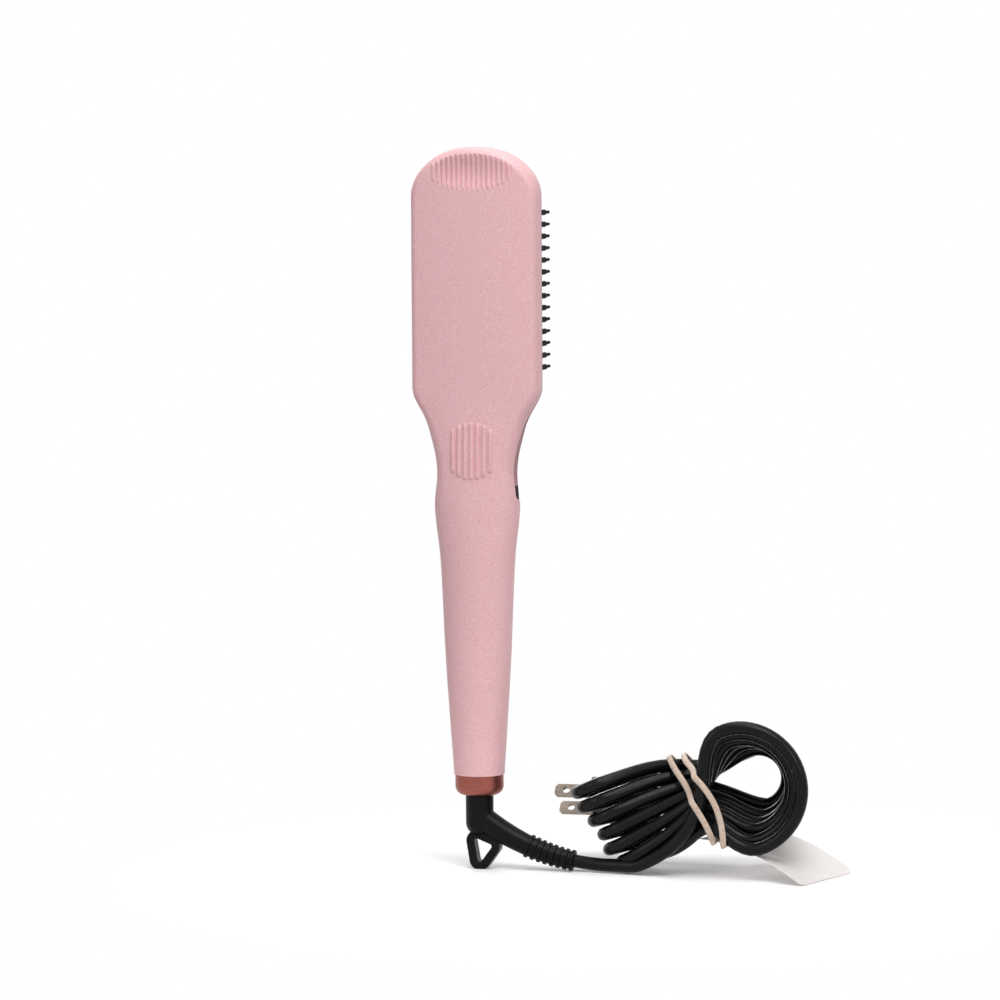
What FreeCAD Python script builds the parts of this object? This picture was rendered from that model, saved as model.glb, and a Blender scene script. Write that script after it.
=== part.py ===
"""Hair straightening brush with a swivel cord, as a parametric document.

Millimetres. +X runs across the head, +Y points along the bristles, +Z is up.
The origin lies on the floor under the hanging loop, on the swivel axis.
"""
import FreeCAD, Part
import math
import os

import Sketcher

Vector = FreeCAD.Vector
DOC = FreeCAD.newDocument("hair_straightening_brush")
SHEET = DOC.addObject("Spreadsheet::Sheet", "Sizes")
NODES = []

# Casing stations from the cord end to the head.
# Each has its run up from the station before, half width, rear and front depth,
# then crown and corner radius of the rear face and of the front face.
STATION_FIELDS = ("run", "half_width", "rear", "front",
                  "rear_crown", "rear_corner", "front_crown", "front_corner")
STATIONS = {
    "end": (42.2, 11.0, 11.0, 11.0, 11.6, 9.5, 11.6, 9.5),
    "grip": (53.8, 14.4, 12.8, 12.3, 17.5, 9.5, 17.5, 9.5),
    "palm": (42.0, 16.5, 13.0, 12.5, 21.0, 9.0, 21.0, 9.0),
    "swell": (23.0, 18.9, 12.2, 11.5, 30.0, 8.0, 30.0, 8.0),
    "neck": (15.0, 17.4, 11.1, 10.8, 42.0, 6.8, 50.0, 5.0),
    "shoulder": (21.0, 21.7, 10.0, 9.2, 75.0, 5.4, 150.0, 3.2),
    "head": (16.0, 28.5, 9.5, 7.5, 120.0, 4.0, 2000.0, 0.8),
}
STATION_NAMES = tuple(STATIONS)

SIZES = {
    # Casing
    "wall": 2.2,
    "front_step": 0.5,
    "head_length": 105.6,
    "head_top_height": 22.0,
    "part_line_head": 4.0,
    "part_line_neck": -3.5,
    "part_line_handle": 6.5,
    "part_line_dip": 1.0,
    "part_line_turn": 4.5,
    "panel_top_below_neck": 6.0,
    "panel_length": 78.0,
    # Thumb scoop at the tip
    "scoop_drop": 11.0,
    "scoop_radius": 21.8,
    "scoop_depth": 1.05,
    "scoop_groove_depth": 1.6,
    "scoop_groove_pitch": 2.25,
    "scoop_groove_width": 1.1,
    "scoop_groove_count": 17,
    # Grip ribs at the neck
    "rib_count": 7,
    "rib_pitch": 2.8,
    "rib_width": 1.5,
    "rib_height": 0.6,
    "rib_length": 24.6,
    "rib_length_step": 0.7,
    "rib_centre_above_neck": 9.7,
    # Heated plate and bristles
    "row_count": 14,
    "first_row_above_head": 8.3,
    "last_row_below_tip": 29.18,
    "column_count": 7,
    "column_pitch": 6.0,
    "plate_margin": 5.0,
    "plate_flange": 2.2,
    "plate_flange_thickness": 1.6,
    "plate_corner": 5.0,
    "plate_clearance": 0.2,
    "land_half_width": 23.2,
    "pin_radius": 1.5,
    "pin_length": 9.5,
    "tip_radius": 0.85,
    "tip_length": 10.5,
    "edge_bristle_inset": 2.2,
    "edge_base_radius": 1.25,
    "edge_base_length": 12.7,
    "edge_tip_radius": 0.72,
    "edge_tip_length": 8.2,
    # Heater stack behind the plate
    "heater_width": 11.0,
    "heater_thickness": 3.6,
    "heater_end_margin": 7.06,
    "heater_offset": 9.5,
    "insulation_thickness": 0.6,
    "insulation_margin": 0.8,
    "clamp_thickness": 1.2,
    "clamp_screw_offset": 18.6,
    "clamp_screw_inset": 4.0,
    "clamp_boss_radius": 2.6,
    "clamp_edge": 2.9,
    "clamp_screw_length": 5.0,
    "clamp_window_width": 8.0,
    "sensor_width": 3.0,
    "sensor_length": 6.0,
    "sensor_thickness": 2.2,
    "fuse_radius": 1.7,
    "fuse_length": 11.0,
    "sensor_gap": 12.0,
    # Screws
    "screw_radius": 1.2,
    "screw_bore_clearance": 0.05,
    "screw_hole_clearance": 0.3,
    "screw_head_radius": 2.4,
    "screw_head_thickness": 1.3,
    "screw_boss_radius": 3.0,
    "screw_length": 9.0,
    "screw_slot_width": 0.8,
    "screw_slot_length": 3.0,
    "screw_slot_depth": 0.7,
    "screw_bore_extra": 1.0,
    "tip_screw_offset": 9.0,
    "tip_screw_drop": 14.0,
    "neck_screw_offset": 13.6,
    "neck_screw_above_neck": 17.0,
    # Boards, display and buttons
    "control_board_half_width": 8.6,
    "control_board_depth": 4.0,
    "control_board_thickness": 1.2,
    "control_board_length": 60.0,
    "control_board_drop": 9.0,
    "power_board_half_width": 7.6,
    "power_board_depth": 5.6,
    "power_board_thickness": 1.6,
    "power_board_length": 60.0,
    "power_board_above_end": 31.8,
    "board_rib_thickness": 2.0,
    "board_rib_inset": 1.0,
    "window_half_width": 6.6,
    "window_height": 10.0,
    "window_drop": 21.0,
    "window_clearance": 0.1,
    "display_thickness": 3.0,
    "display_margin": 1.0,
    "power_button_radius": 4.2,
    "temp_button_radius": 3.6,
    "power_button_above_panel_end": 18.0,
    "button_pitch": 12.5,
    "button_clearance": 0.35,
    "button_proud": 0.5,
    "button_flange": 0.7,
    "button_flange_thickness": 0.6,
    "switch_width": 6.0,
    "switch_thickness": 1.8,
    "switch_stem_radius": 1.6,
    "switch_stem_length": 0.5,
    "switch_gap": 0.9,
    "relay_width": 11.0,
    "relay_depth": 6.4,
    "relay_length": 15.0,
    "capacitor_radius": 3.2,
    "capacitor_length": 6.5,
    "triac_width": 9.0,
    "triac_depth": 3.0,
    "triac_length": 11.0,
    "component_gap": 4.0,
    "connector_width": 10.0,
    "connector_length": 2.5,
    # Swivel at the cord end
    "ring_height": 9.2,
    "ring_radius": 10.7,
    "ring_edge": 4.0,
    "ring_lip": 3.0,
    "bush_radius": 8.4,
    "bush_above_end": 9.5,
    "spindle_radius": 5.0,
    "running_clearance": 0.05,
    "spindle_hole_clearance": 0.6,
    "collar_radius": 6.15,
    "collar_gap": 0.4,
    "collar_height": 6.6,
    "spindle_stem_radius": 3.2,
    "slip_ring_radius": 4.4,
    "slip_ring_height": 3.0,
    "slip_ring_pitch": 5.0,
    "slip_ring_start": 1.5,
    "slip_ring_seat_clearance": 0.02,
    "clip_radius": 6.4,
    "clip_thickness": 1.0,
    "clip_clearance": 0.3,
    "spring_thickness": 0.6,
    "spring_width": 3.0,
    "spring_radius": 7.0,
    "contact_gap": 0.35,
    # Cord boot with its hanging loop
    "loop_thickness": 5.6,
    "loop_top_across": -0.8,
    "loop_top_height": 12.6,
    "loop_side_across": 5.0,
    "loop_side_height": 10.2,
    "loop_foot_across": 0.6,
    "loop_foot_height": 4.2,
    "elbow_height": 20.6,
    "loop_hole_corner": 1.0,
    "strut_width": 3.7,
    "arm_drop_start": 36.0,
    "arm_drop_end": 9.0,
    "arm_start_radius": 5.5,
    "arm_end_radius": 3.9,
    "arm_end_reach": 43.0,
    "arm_end_height": 4.7,
    "arm_start_height": 23.3,
    "arm_rib_count": 8,
    "arm_rib_pitch": 2.9,
    "arm_rib_height": 0.75,
    # Cord and wires
    "cord_diameter": 5.8,
    "wire_diameter": 1.4,
    "hank_across": 94.0,
    "hank_depth": 6.0,
    "hank_height": 33.9,
    "hank_rise": 15.0,
    "hank_turns": 6.6,
    "hank_pitch": 7.0,
    "hank_left": 42.0,
    "hank_lean": 0.27,
    "hank_stagger": 1.0,
    "hank_left_beat": 2.3,
    "hank_right": 54.0,
    "hank_right_beat": 1.9,
    "hank_right_share": 0.6,
    "hank_waist": 3.8,
    "hank_end_lift": 0.25,
    "hank_loop_radius": 19.0,
    "hank_loop_swing": 5.5,
    "lead_reach": 9.0,
    "lead_run": 16.0,
    "lead_rise": 1.5,
    "lead_turn": 10.0,
    "tail_run": 13.0,
    "twist_start": -34.0,
    "twist_stop": 26.0,
    "band_first": -4.5,
    "band_second": 3.5,
    "band_width": 3.2,
    "band_thickness": 1.0,
    "band_clearance": 0.5,
    # Plug
    "plug_across": 72.5,
    "plug_depth": 33.0,
    "plug_height": 27.0,
    "plug_roll": 45.0,
    "plug_length": 20.0,
    "plug_width": 24.0,
    "plug_thickness": 14.0,
    "plug_corner": 6.0,
    "plug_back_corner": 3.0,
    "plug_relief_length": 8.0,
    "plug_relief_radius": 6.0,
    "plug_neck_radius": 3.9,
    "blade_length": 17.0,
    "blade_width": 6.35,
    "blade_thickness": 1.5,
    "blade_spacing": 12.7,
    "blade_hole_radius": 1.7,
    "blade_hole_inset": 5.2,
    "blade_chamfer": 1.2,
    # Tag
    "tag_across": 148.0,
    "tag_depth": -20.0,
    "tag_turn": 159.0,
    "tag_length": 52.0,
    "tag_width": 44.0,
    "tag_thickness": 0.4,
    "tag_floor_gap": 0.3,
    "tag_cord_gap": 0.6,
}


# Sheet, expressions and document helpers
def fill_sheet():
    """Write every size to the sheet, one row each, under its own alias."""
    rows = dict(SIZES)
    for name, values in STATIONS.items():
        for field, value in zip(STATION_FIELDS, values):
            rows[name + "_" + field] = value
    for row, (alias, value) in enumerate(rows.items(), start=1):
        SHEET.set("A%d" % row, alias)
        SHEET.set("B%d" % row, str(value))
        SHEET.setAlias("B%d" % row, alias)
    DOC.recompute()


def size(alias):
    """Return one size from the sheet."""
    return float(SHEET.get(alias))


def words(text):
    """Turn the size names of a formula into cells of the sheet."""
    aliases = set(SIZES)
    for name in STATION_NAMES:
        aliases.update(name + "_" + field for field in STATION_FIELDS)
    for mark in "()+-*/":
        text = text.replace(mark, " %s " % mark)
    return " ".join("Sizes." + word if word in aliases else word for word in text.split())


def number(text):
    """Return the value of a formula in size names."""
    return float(SHEET.evalExpression(words(text)))


def level(name):
    """Return the formula for the height of a casing station."""
    runs = [other + "_run" for other in STATION_NAMES[:STATION_NAMES.index(name) + 1]]
    return "(%s)" % " + ".join(runs)


def bind(item, prop, text):
    """Bind a property to a formula in size names."""
    item.setExpression(prop, words(text))


def node(item, label):
    """Name a finished sub-part and list it for writing."""
    item.Label = label
    NODES.append(item)
    return item


def feature(label, shape):
    """Make a sub-part from a shape that was built in code."""
    item = DOC.addObject("Part::Feature", label)
    item.Shape = shape
    item.Placement = FreeCAD.Placement()
    return node(item, label)


def box(name, corner, sides):
    """Make a box from formulas for its low corner and its three sides."""
    item = DOC.addObject("Part::Box", name)
    for prop, text in zip(("Length", "Width", "Height"), sides):
        bind(item, prop, text)
    for axis, text in zip("xyz", corner):
        bind(item, "Placement.Base." + axis, text)
    return item


def post(name, start, radius, length, along="z"):
    """Make a cylinder along +Z or +Y from formulas for its start, radius and length."""
    item = DOC.addObject("Part::Cylinder", name)
    if along == "y":
        item.Placement = FreeCAD.Placement(Vector(), FreeCAD.Rotation(Vector(1, 0, 0), -90))
    bind(item, "Radius", radius)
    bind(item, "Height", length)
    for axis, text in zip("xyz", start):
        bind(item, "Placement.Base." + axis, text)
    return item


def group(label, items):
    """Join separate solids in one sub-part without fusing them."""
    item = DOC.addObject("Part::Compound", label)
    item.Links = items
    return node(item, label)


def cut(name, base, tool):
    """Subtract one object from another."""
    item = DOC.addObject("Part::Cut", name)
    item.Base = base
    item.Tool = tool
    return item


def fuse(name, items):
    """Fuse objects into one solid."""
    item = DOC.addObject("Part::MultiFuse", name)
    item.Shapes = items
    return item


def outline_sketch(body, name, role, corners):
    """Draw a closed polygon whose corners are formulas, on an origin plane of its body."""
    sketch = body.newObject("Sketcher::SketchObject", name)
    plane = [item for item in body.Origin.OriginFeatures if item.Role == role][0]
    sketch.AttachmentSupport = [(plane, "")]
    sketch.MapMode = "FlatFace"
    places = [Vector(number(across), number(up), 0) for across, up in corners]
    count = len(places)
    for index in range(count):
        sketch.addGeometry(Part.LineSegment(places[index], places[(index + 1) % count]), False)
    for index in range(count):
        sketch.addConstraint(Sketcher.Constraint("Coincident", index, 2, (index + 1) % count, 1))
    for index, (across, up) in enumerate(corners):
        for kind, text, value in (("DistanceX", across, places[index].x), ("DistanceY", up, places[index].y)):
            place = sketch.addConstraint(Sketcher.Constraint(kind, -1, 1, index, 1, value))
            sketch.renameConstraint(place, "%s%d" % (kind, index))
            sketch.setExpression("Constraints.%s%d" % (kind, index), words(text))
    return sketch


def turned_body(label, corners):
    """Revolve a profile of radius and height formulas about the swivel axis."""
    body = DOC.addObject("PartDesign::Body", label)
    sketch = outline_sketch(body, label + "_profile", "XZ_Plane", corners)
    turn = body.newObject("PartDesign::Revolution", label + "_turn")
    turn.Profile = sketch
    turn.ReferenceAxis = (sketch, ["V_Axis"])
    turn.Angle = 360
    return body


def wire_face(edges):
    """Return the face inside a closed run of edges."""
    return Part.Face(Part.Wire(edges))


def slab(x_low, x_high, y_low, y_high, z_low, z_high):
    """Return a box from its limits."""
    corner = Vector(x_low, y_low, z_low)
    return Part.makeBox(x_high - x_low, y_high - y_low, z_high - z_low, corner)


def rod(radius, x, z, y_low, y_high):
    """Return a cylinder along +Y."""
    return Part.makeCylinder(radius, y_high - y_low, Vector(x, y_low, z), Vector(0, 1, 0))


# Casing forms
def smooth(places, values, place):
    """Return the monotone cubic through some values at one place."""
    if place <= places[0]:
        return values[0]
    if place >= places[-1]:
        return values[-1]
    steps = [after - before for before, after in zip(places, places[1:])]
    slopes = [(after - before) / step for before, after, step in zip(values, values[1:], steps)]
    tangents = [0.0] * len(places)
    for index in range(1, len(places) - 1):
        before, after = slopes[index - 1], slopes[index]
        if before * after > 0:
            near = 2 * steps[index] + steps[index - 1]
            far = steps[index] + 2 * steps[index - 1]
            tangents[index] = (near + far) / (near / before + far / after)
    tangents[0] = slopes[0] if slopes[0] * slopes[1] > 0 else 0.0
    index = max(i for i in range(len(steps)) if places[i] <= place)
    part = (place - places[index]) / steps[index]
    rest = 1 - part
    return (values[index] * (1 + 2 * part) * rest ** 2
            + values[index + 1] * (1 + 2 * rest) * part ** 2
            + steps[index] * part * rest * (tangents[index] * rest - tangents[index + 1] * part))


def station_value(field, height):
    """Return one field of the casing at a height."""
    heights = [number(level(name)) for name in STATION_NAMES]
    values = [size(name + "_" + field) for name in STATION_NAMES]
    return smooth(heights, values, height)


LEAST_CORNER = 0.6


def face_points(half, depth, crown, corner):
    """Return the points of one crowned face with round corners, right side only.

    The first lies where the side ends, the second halfway round the corner
    and the third where the crown starts. The second value counts outward.
    """
    crown_centre = depth - crown
    across = half - corner
    out = crown_centre + math.sqrt((crown - corner) ** 2 - across ** 2)
    turn = math.atan2(out - crown_centre, across)
    side = (half, out)
    middle = (across + corner * math.cos(turn / 2), out + corner * math.sin(turn / 2))
    start = (across + corner * math.cos(turn), out + corner * math.sin(turn))
    return side, middle, start


def section_wire(height, inward=0.0, step=0.0):
    """Return the casing outline at a height, offset inward, with its sides stepped in."""
    half = station_value("half_width", height) - inward - step
    faces = {}
    for name in ("rear", "front"):
        corner = max(station_value(name + "_corner", height) - inward, LEAST_CORNER)
        depth = station_value(name, height) - inward
        crown = station_value(name + "_crown", height) - inward
        faces[name] = face_points(half, depth, crown, corner) + ((0.0, depth),)

    def place(name, index, side):
        across, out = faces[name][index]
        return Vector(side * across, out if name == "front" else -out, height)

    edges = []
    for name, side in (("front", 1), ("rear", -1)):
        other = "rear" if name == "front" else "front"
        edges.append(Part.LineSegment(place(other, 0, side), place(name, 0, side)).toShape())
        edges.append(Part.Arc(place(name, 0, side), place(name, 1, side), place(name, 2, side)).toShape())
        edges.append(Part.Arc(place(name, 2, side), place(name, 3, side), place(name, 2, -side)).toShape())
        edges.append(Part.Arc(place(name, 2, -side), place(name, 1, -side), place(name, 0, -side)).toShape())
    return Part.Wire(edges)


STATION_PARTS = 4
CLOSE_SHARE = 0.005


def casing_heights(bottom, top):
    """Return the loft heights between two heights, finer than the stations."""
    marks = [number(level(name)) for name in STATION_NAMES]
    heights = [bottom]
    for low, high in zip(marks, marks[1:]):
        for part in range(STATION_PARTS):
            heights.append(low + (high - low) * part / STATION_PARTS)
    heights.append(top)
    gap = (marks[-1] - marks[0]) * CLOSE_SHARE
    inside = [mark for mark in heights[1:-1] if bottom + gap < mark < top - gap]
    return [bottom] + inside + [top]


def lofted_form(bottom, top, inward=0.0, step=0.0):
    """Return the casing form between two heights of handle and neck."""
    wires = [section_wire(height, inward, step) for height in casing_heights(bottom, top)]
    return Part.makeLoft(wires, True, False)


def head_outline(half, base, centre, top_height, depth):
    """Return the outline face of the head, standing at one depth."""
    right_low = Vector(half, depth, base)
    left_low = Vector(-half, depth, base)
    right = Vector(half, depth, centre)
    left = Vector(-half, depth, centre)
    middle = Vector(0, depth, centre)
    ellipse = Part.Ellipse(right, Vector(0, depth, centre + top_height), middle)
    top = Part.ArcOfEllipse(ellipse, 0, math.pi).toShape()
    sides = [(left_low, right_low), (right_low, right), (left, left_low)]
    bottom_edge, right_edge, left_edge = [Part.LineSegment(*side).toShape() for side in sides]
    return wire_face([bottom_edge, right_edge, top, left_edge])


def head_form(inward=0.0, step=0.0):
    """Return the head block: a flat front, a crowned rear and round edges."""
    base = number(level("head"))
    centre = base + size("head_length") - size("head_top_height")
    half = size("head_half_width") - inward - step
    front = size("head_front") - inward
    rear = size("head_rear") - inward
    crown = size("head_rear_crown") - inward
    outline = head_outline(half, base, centre, size("head_top_height") - inward - step, front)
    block = outline.extrude(Vector(0, -2 * (front + rear), 0))
    barrel = Part.makeCylinder(crown, 2 * size("head_length"), Vector(0, crown - rear, base))
    block = block.common(barrel)
    above = base + LEAST_CORNER
    sides = [edge for edge in block.Edges if edge.BoundBox.ZMax > above]
    rear_edges = [edge for edge in sides if edge.BoundBox.YMax < 0]
    block = block.makeFillet(max(size("head_rear_corner") - inward, LEAST_CORNER), rear_edges)
    if inward > 0:
        return block
    sides = [edge for edge in block.Edges if edge.BoundBox.ZMax > above]
    front_edges = [edge for edge in sides if edge.BoundBox.YMin > front - LEAST_CORNER / 2]
    return block.makeFillet(size("head_front_corner"), front_edges)


def casing_form(bottom, inward=0.0, step=0.0):
    """Return the whole casing form from a height up to the tip."""
    stem = lofted_form(bottom, number(level("head")), inward, step)
    return stem.fuse(head_form(inward, step))


# Casing pieces
REACH = 60.0
PARTING_PARTS = 8


def parting_solid():
    """Return all that lies behind the parting line of the casing."""
    neck = number(level("neck"))
    swell = number(level("swell"))
    head = number(level("head"))
    shoulder = number(level("shoulder"))
    top = head + size("head_length") + REACH
    marks = [-REACH, swell - size("neck_run"), swell, swell + size("part_line_turn"),
             (neck + shoulder) / 2, head, top]
    handle, waist, blade = [size("part_line_" + name) for name in ("handle", "neck", "head")]
    depths = [handle, handle, handle - size("part_line_dip"), waist, waist, blade, blade]
    heights = [low + (high - low) * index / PARTING_PARTS
               for low, high in zip(marks, marks[1:]) for index in range(PARTING_PARTS)] + [top]
    points = [Vector(-REACH, smooth(marks, depths, height), height) for height in heights]
    line = Part.BSplineCurve()
    line.interpolate(points)
    far_top = Vector(-REACH, -REACH, top)
    far_low = Vector(-REACH, -REACH, -REACH)
    corners = [(points[-1], far_top), (far_top, far_low), (far_low, points[0])]
    edges = [line.toShape()] + [Part.LineSegment(*pair).toShape() for pair in corners]
    return wire_face(edges).extrude(Vector(2 * REACH, 0, 0))


def head_tip():
    """Return the height of the tip of the head."""
    return number(level("head") + " + head_length")


def front_surface(height, across):
    """Return how far forward the casing reaches at a height and a distance from its middle."""
    crown = station_value("front_crown", height)
    return station_value("front", height) - crown + math.sqrt(crown ** 2 - across ** 2)


SCREW_SEAT_SHARE = 1 / 3


def screw_places():
    """Return the casing screws as places across, heights and depths of their head seats."""
    tip = (size("tip_screw_offset"), head_tip() - size("tip_screw_drop"))
    neck = (size("neck_screw_offset"), number(level("neck") + " + neck_screw_above_neck"))
    places = []
    for across, height in (tip, neck):
        seat = front_surface(height, across) - size("wall") * (1 - SCREW_SEAT_SHARE)
        places += [(across, height, seat), (-across, height, seat)]
    return places


def capsule(across, height, width, length, y_low, y_high):
    """Return an upright bar with round ends, standing along +Y."""
    radius = width / 2
    straight = length / 2 - radius
    right, left = across + radius, across - radius
    low, high = height - straight, height + straight
    edges = [
        Part.LineSegment(Vector(right, y_low, low), Vector(right, y_low, high)).toShape(),
        Part.Arc(Vector(right, y_low, high), Vector(across, y_low, high + radius),
                 Vector(left, y_low, high)).toShape(),
        Part.LineSegment(Vector(left, y_low, high), Vector(left, y_low, low)).toShape(),
        Part.Arc(Vector(left, y_low, low), Vector(across, y_low, low - radius),
                 Vector(right, y_low, low)).toShape(),
    ]
    return wire_face(edges).extrude(Vector(0, y_high - y_low, 0))


def neck_ribs():
    """Return the raised grip ribs on the rear of the neck, rooted in the wall."""
    height = number(level("neck") + " + rib_centre_above_neck")
    room = size("rib_length")
    raised = lofted_form(height - room, height + room, -size("rib_height"))
    middle = (int(size("rib_count")) - 1) / 2
    root = -station_value("rear", height) + size("wall") / 2
    ribs = []
    for index in range(int(size("rib_count"))):
        place = index - middle
        length = size("rib_length") - size("rib_length_step") * place ** 2
        bar = capsule(place * size("rib_pitch"), height, size("rib_width"), length, -REACH, root)
        ribs.append(bar.common(raised))
    return ribs


def scoop_tools():
    """Return the cutters of the thumb scoop: one shallow barrel and its deeper grooves."""
    radius = size("scoop_radius")
    height = head_tip() - size("scoop_drop")

    def barrel(depth):
        centre = Vector(-REACH, depth - size("head_rear") - radius, height)
        return Part.makeCylinder(radius, 2 * REACH, centre, Vector(1, 0, 0))

    deep = barrel(size("scoop_groove_depth"))
    count = int(size("scoop_groove_count"))
    half = size("scoop_groove_width") / 2
    tools = [barrel(size("scoop_depth"))]
    for index in range(count):
        across = (index - (count - 1) / 2) * size("scoop_groove_pitch")
        slot = slab(across - half, across + half, -REACH, 0, height - radius, height + radius)
        tools.append(deep.common(slot))
    return tools


def board_ribs(inner, bottom, length, y_low, y_high):
    """Return two cross ribs that fill the casing's inside up to the face of a board."""
    thick = size("board_rib_thickness")
    inset = size("board_rib_inset")
    ribs = []
    for start in (bottom + inset, bottom + length - inset - thick):
        ribs.append(slab(-REACH, REACH, y_low, y_high, start, start + thick).common(inner))
    return ribs


def make_casing():
    """Build the rear casing, front casing, control panel and handle cover.

    Returns:
        The inner form and the front outer form, which the panel's pieces follow.
    """
    end = number(level("end"))
    behind = parting_solid()
    outer = casing_form(end)
    inner = casing_form(end + size("wall"), size("wall"))
    front_outer = casing_form(end, 0.0, size("front_step"))
    bush_hole = Part.makeCylinder(size("bush_radius"), size("wall"), Vector(0, 0, end))
    bore = size("screw_radius") + size("screw_bore_clearance")
    hole = size("screw_radius") + size("screw_hole_clearance")
    head_hole = size("screw_head_radius") + size("screw_hole_clearance")

    rear = outer.fuse(neck_ribs())
    rear = rear.cut(scoop_tools())
    rear = rear.cut(inner).common(behind).cut(bush_hole)
    ribs = board_ribs(inner, number(level("end") + " + power_board_above_end"),
                      size("power_board_length"), -REACH, -size("power_board_depth"))
    bosses = []
    pilots = []
    for across, height, seat in screw_places():
        boss = rod(size("screw_boss_radius"), across, height, -REACH, REACH)
        bosses.append(boss.common(inner))
        low = seat - size("screw_length") - size("screw_bore_extra")
        pilots.append(rod(bore, across, height, low, seat))
    rear = rear.fuse(ribs + bosses).cut(pilots)
    feature("rear_casing", rear.removeSplitter())

    front = front_outer.cut(inner).cut(behind).cut(bush_hole)
    top = number(level("neck") + " - panel_top_below_neck")
    bottom = top - size("panel_length")
    head_part = front.common(slab(-REACH, REACH, -REACH, REACH, top, head_tip() + REACH))
    window = plate_outline(size("land_half_width") + size("plate_clearance"), size("plate_clearance"))
    holes = [window.extrude(Vector(0, REACH, 0))]
    for across, height, seat in screw_places():
        holes.append(rod(hole, across, height, 0, REACH))
        holes.append(rod(head_hole, across, height, seat, REACH))
    feature("front_casing", head_part.cut(holes))

    panel = front.common(slab(-REACH, REACH, -REACH, REACH, bottom, top))
    seats = board_ribs(inner, number(control_board_bottom()), size("control_board_length"),
                       number("control_board_depth + control_board_thickness"), REACH)
    panel = panel.fuse(seats).cut(panel_holes(REACH))
    feature("control_panel", panel)
    feature("handle_front_cover", front.common(slab(-REACH, REACH, -REACH, REACH, 0, bottom)))
    return inner, front_outer


# Heated plate, bristles and heater stack
ROW_SPAN = "(head_length - first_row_above_head - last_row_below_tip)"


def plate_bottom():
    """Return the formula for the lower edge of the plate's raised land."""
    return level("head") + " + first_row_above_head - plate_margin"


def plate_height():
    """Return the formula for the height of the plate's raised land."""
    return "(%s + 2 * plate_margin)" % ROW_SPAN


def plate_outline(half, grow):
    """Return the outline face of the plate at the middle depth, grown on every side."""
    low = number(plate_bottom()) - grow
    high = number(plate_bottom() + " + " + plate_height()) + grow
    corner = size("plate_corner") + grow
    away = corner * (1 - math.sqrt(0.5))
    edges = []
    places = [(half, low, high), (-half, high, low)]
    for side, start, stop in places:
        up = 1 if stop > start else -1
        inside = 1 if side > 0 else -1
        begin = Vector(side, 0, start + up * corner)
        finish = Vector(side, 0, stop - up * corner)
        middle = Vector(side - inside * away, 0, stop - up * away)
        turn = Vector(side - inside * corner, 0, stop)
        edges.append(Part.LineSegment(begin, finish).toShape())
        edges.append(Part.Arc(finish, middle, turn).toShape())
        edges.append(Part.LineSegment(turn, Vector(inside * corner - side, 0, stop)).toShape())
        far = Vector(-side + inside * away, 0, stop - up * away)
        edges.append(Part.Arc(Vector(inside * corner - side, 0, stop), far,
                              Vector(-side, 0, stop - up * corner)).toShape())
    return wire_face(edges)


PLATE_MIDDLE = plate_bottom() + " + 0.5 * " + plate_height()
HEATER_LENGTH = "(%s - 2 * heater_end_margin)" % plate_height()
CLAMP_SPREAD = "(%s - 2 * clamp_screw_inset)" % HEATER_LENGTH
PLATE_BACK = "(head_front - wall - plate_flange_thickness)"
HEATER_BACK = "(head_front - wall - plate_flange_thickness - heater_thickness)"


def clamp_places():
    """Return the formulas for the places of the clamp screws."""
    return [("%s clamp_screw_offset" % side, "%s %s 0.5 * %s" % (PLATE_MIDDLE, end, CLAMP_SPREAD))
            for side in ("", "-") for end in ("+", "-")]


def make_plate():
    """Build the heated plate: a flange behind the frame, a land in its window and four bosses."""
    flange_depth = size("plate_flange_thickness")
    seat = number("head_front - wall")
    back = number(PLATE_BACK)
    flange = plate_outline(size("land_half_width") + size("plate_flange"), size("plate_flange"))
    flange.translate(Vector(0, back, 0))
    land = plate_outline(size("land_half_width"), 0)
    land.translate(Vector(0, seat, 0))
    plate = flange.extrude(Vector(0, flange_depth, 0)).fuse(land.extrude(Vector(0, size("wall"), 0)))
    bosses = []
    bores = []
    low = number(HEATER_BACK + " - insulation_thickness")
    bore = size("screw_radius") + size("screw_bore_clearance")
    for across, up in clamp_places():
        bosses.append(rod(size("clamp_boss_radius"), number(across), number(up), low, back))
        bores.append(rod(bore, number(across), number(up), low, back + flange_depth / 2))
    feature("heated_plate", plate.fuse(bosses).cut(bores).removeSplitter())


def round_pin(radius, length, base):
    """Return a pin with a domed end, standing along +Y on a base point."""
    straight = length - radius
    slant = radius * math.sqrt(0.5)
    edges = [
        Part.LineSegment(Vector(0, 0, 0), Vector(radius, 0, 0)).toShape(),
        Part.LineSegment(Vector(radius, 0, 0), Vector(radius, straight, 0)).toShape(),
        Part.Arc(Vector(radius, straight, 0), Vector(slant, straight + slant, 0),
                 Vector(0, length, 0)).toShape(),
        Part.LineSegment(Vector(0, length, 0), Vector(0, 0, 0)).toShape(),
    ]
    pin = wire_face(edges).revolve(Vector(), Vector(0, 1, 0), 360)
    pin.translate(base)
    return pin


def row_heights():
    """Return the heights of the bristle rows."""
    first = number(level("head") + " + first_row_above_head")
    rows = int(size("row_count"))
    pitch = number(ROW_SPAN) / (rows - 1)
    return [first + row * pitch for row in range(rows)]


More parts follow.
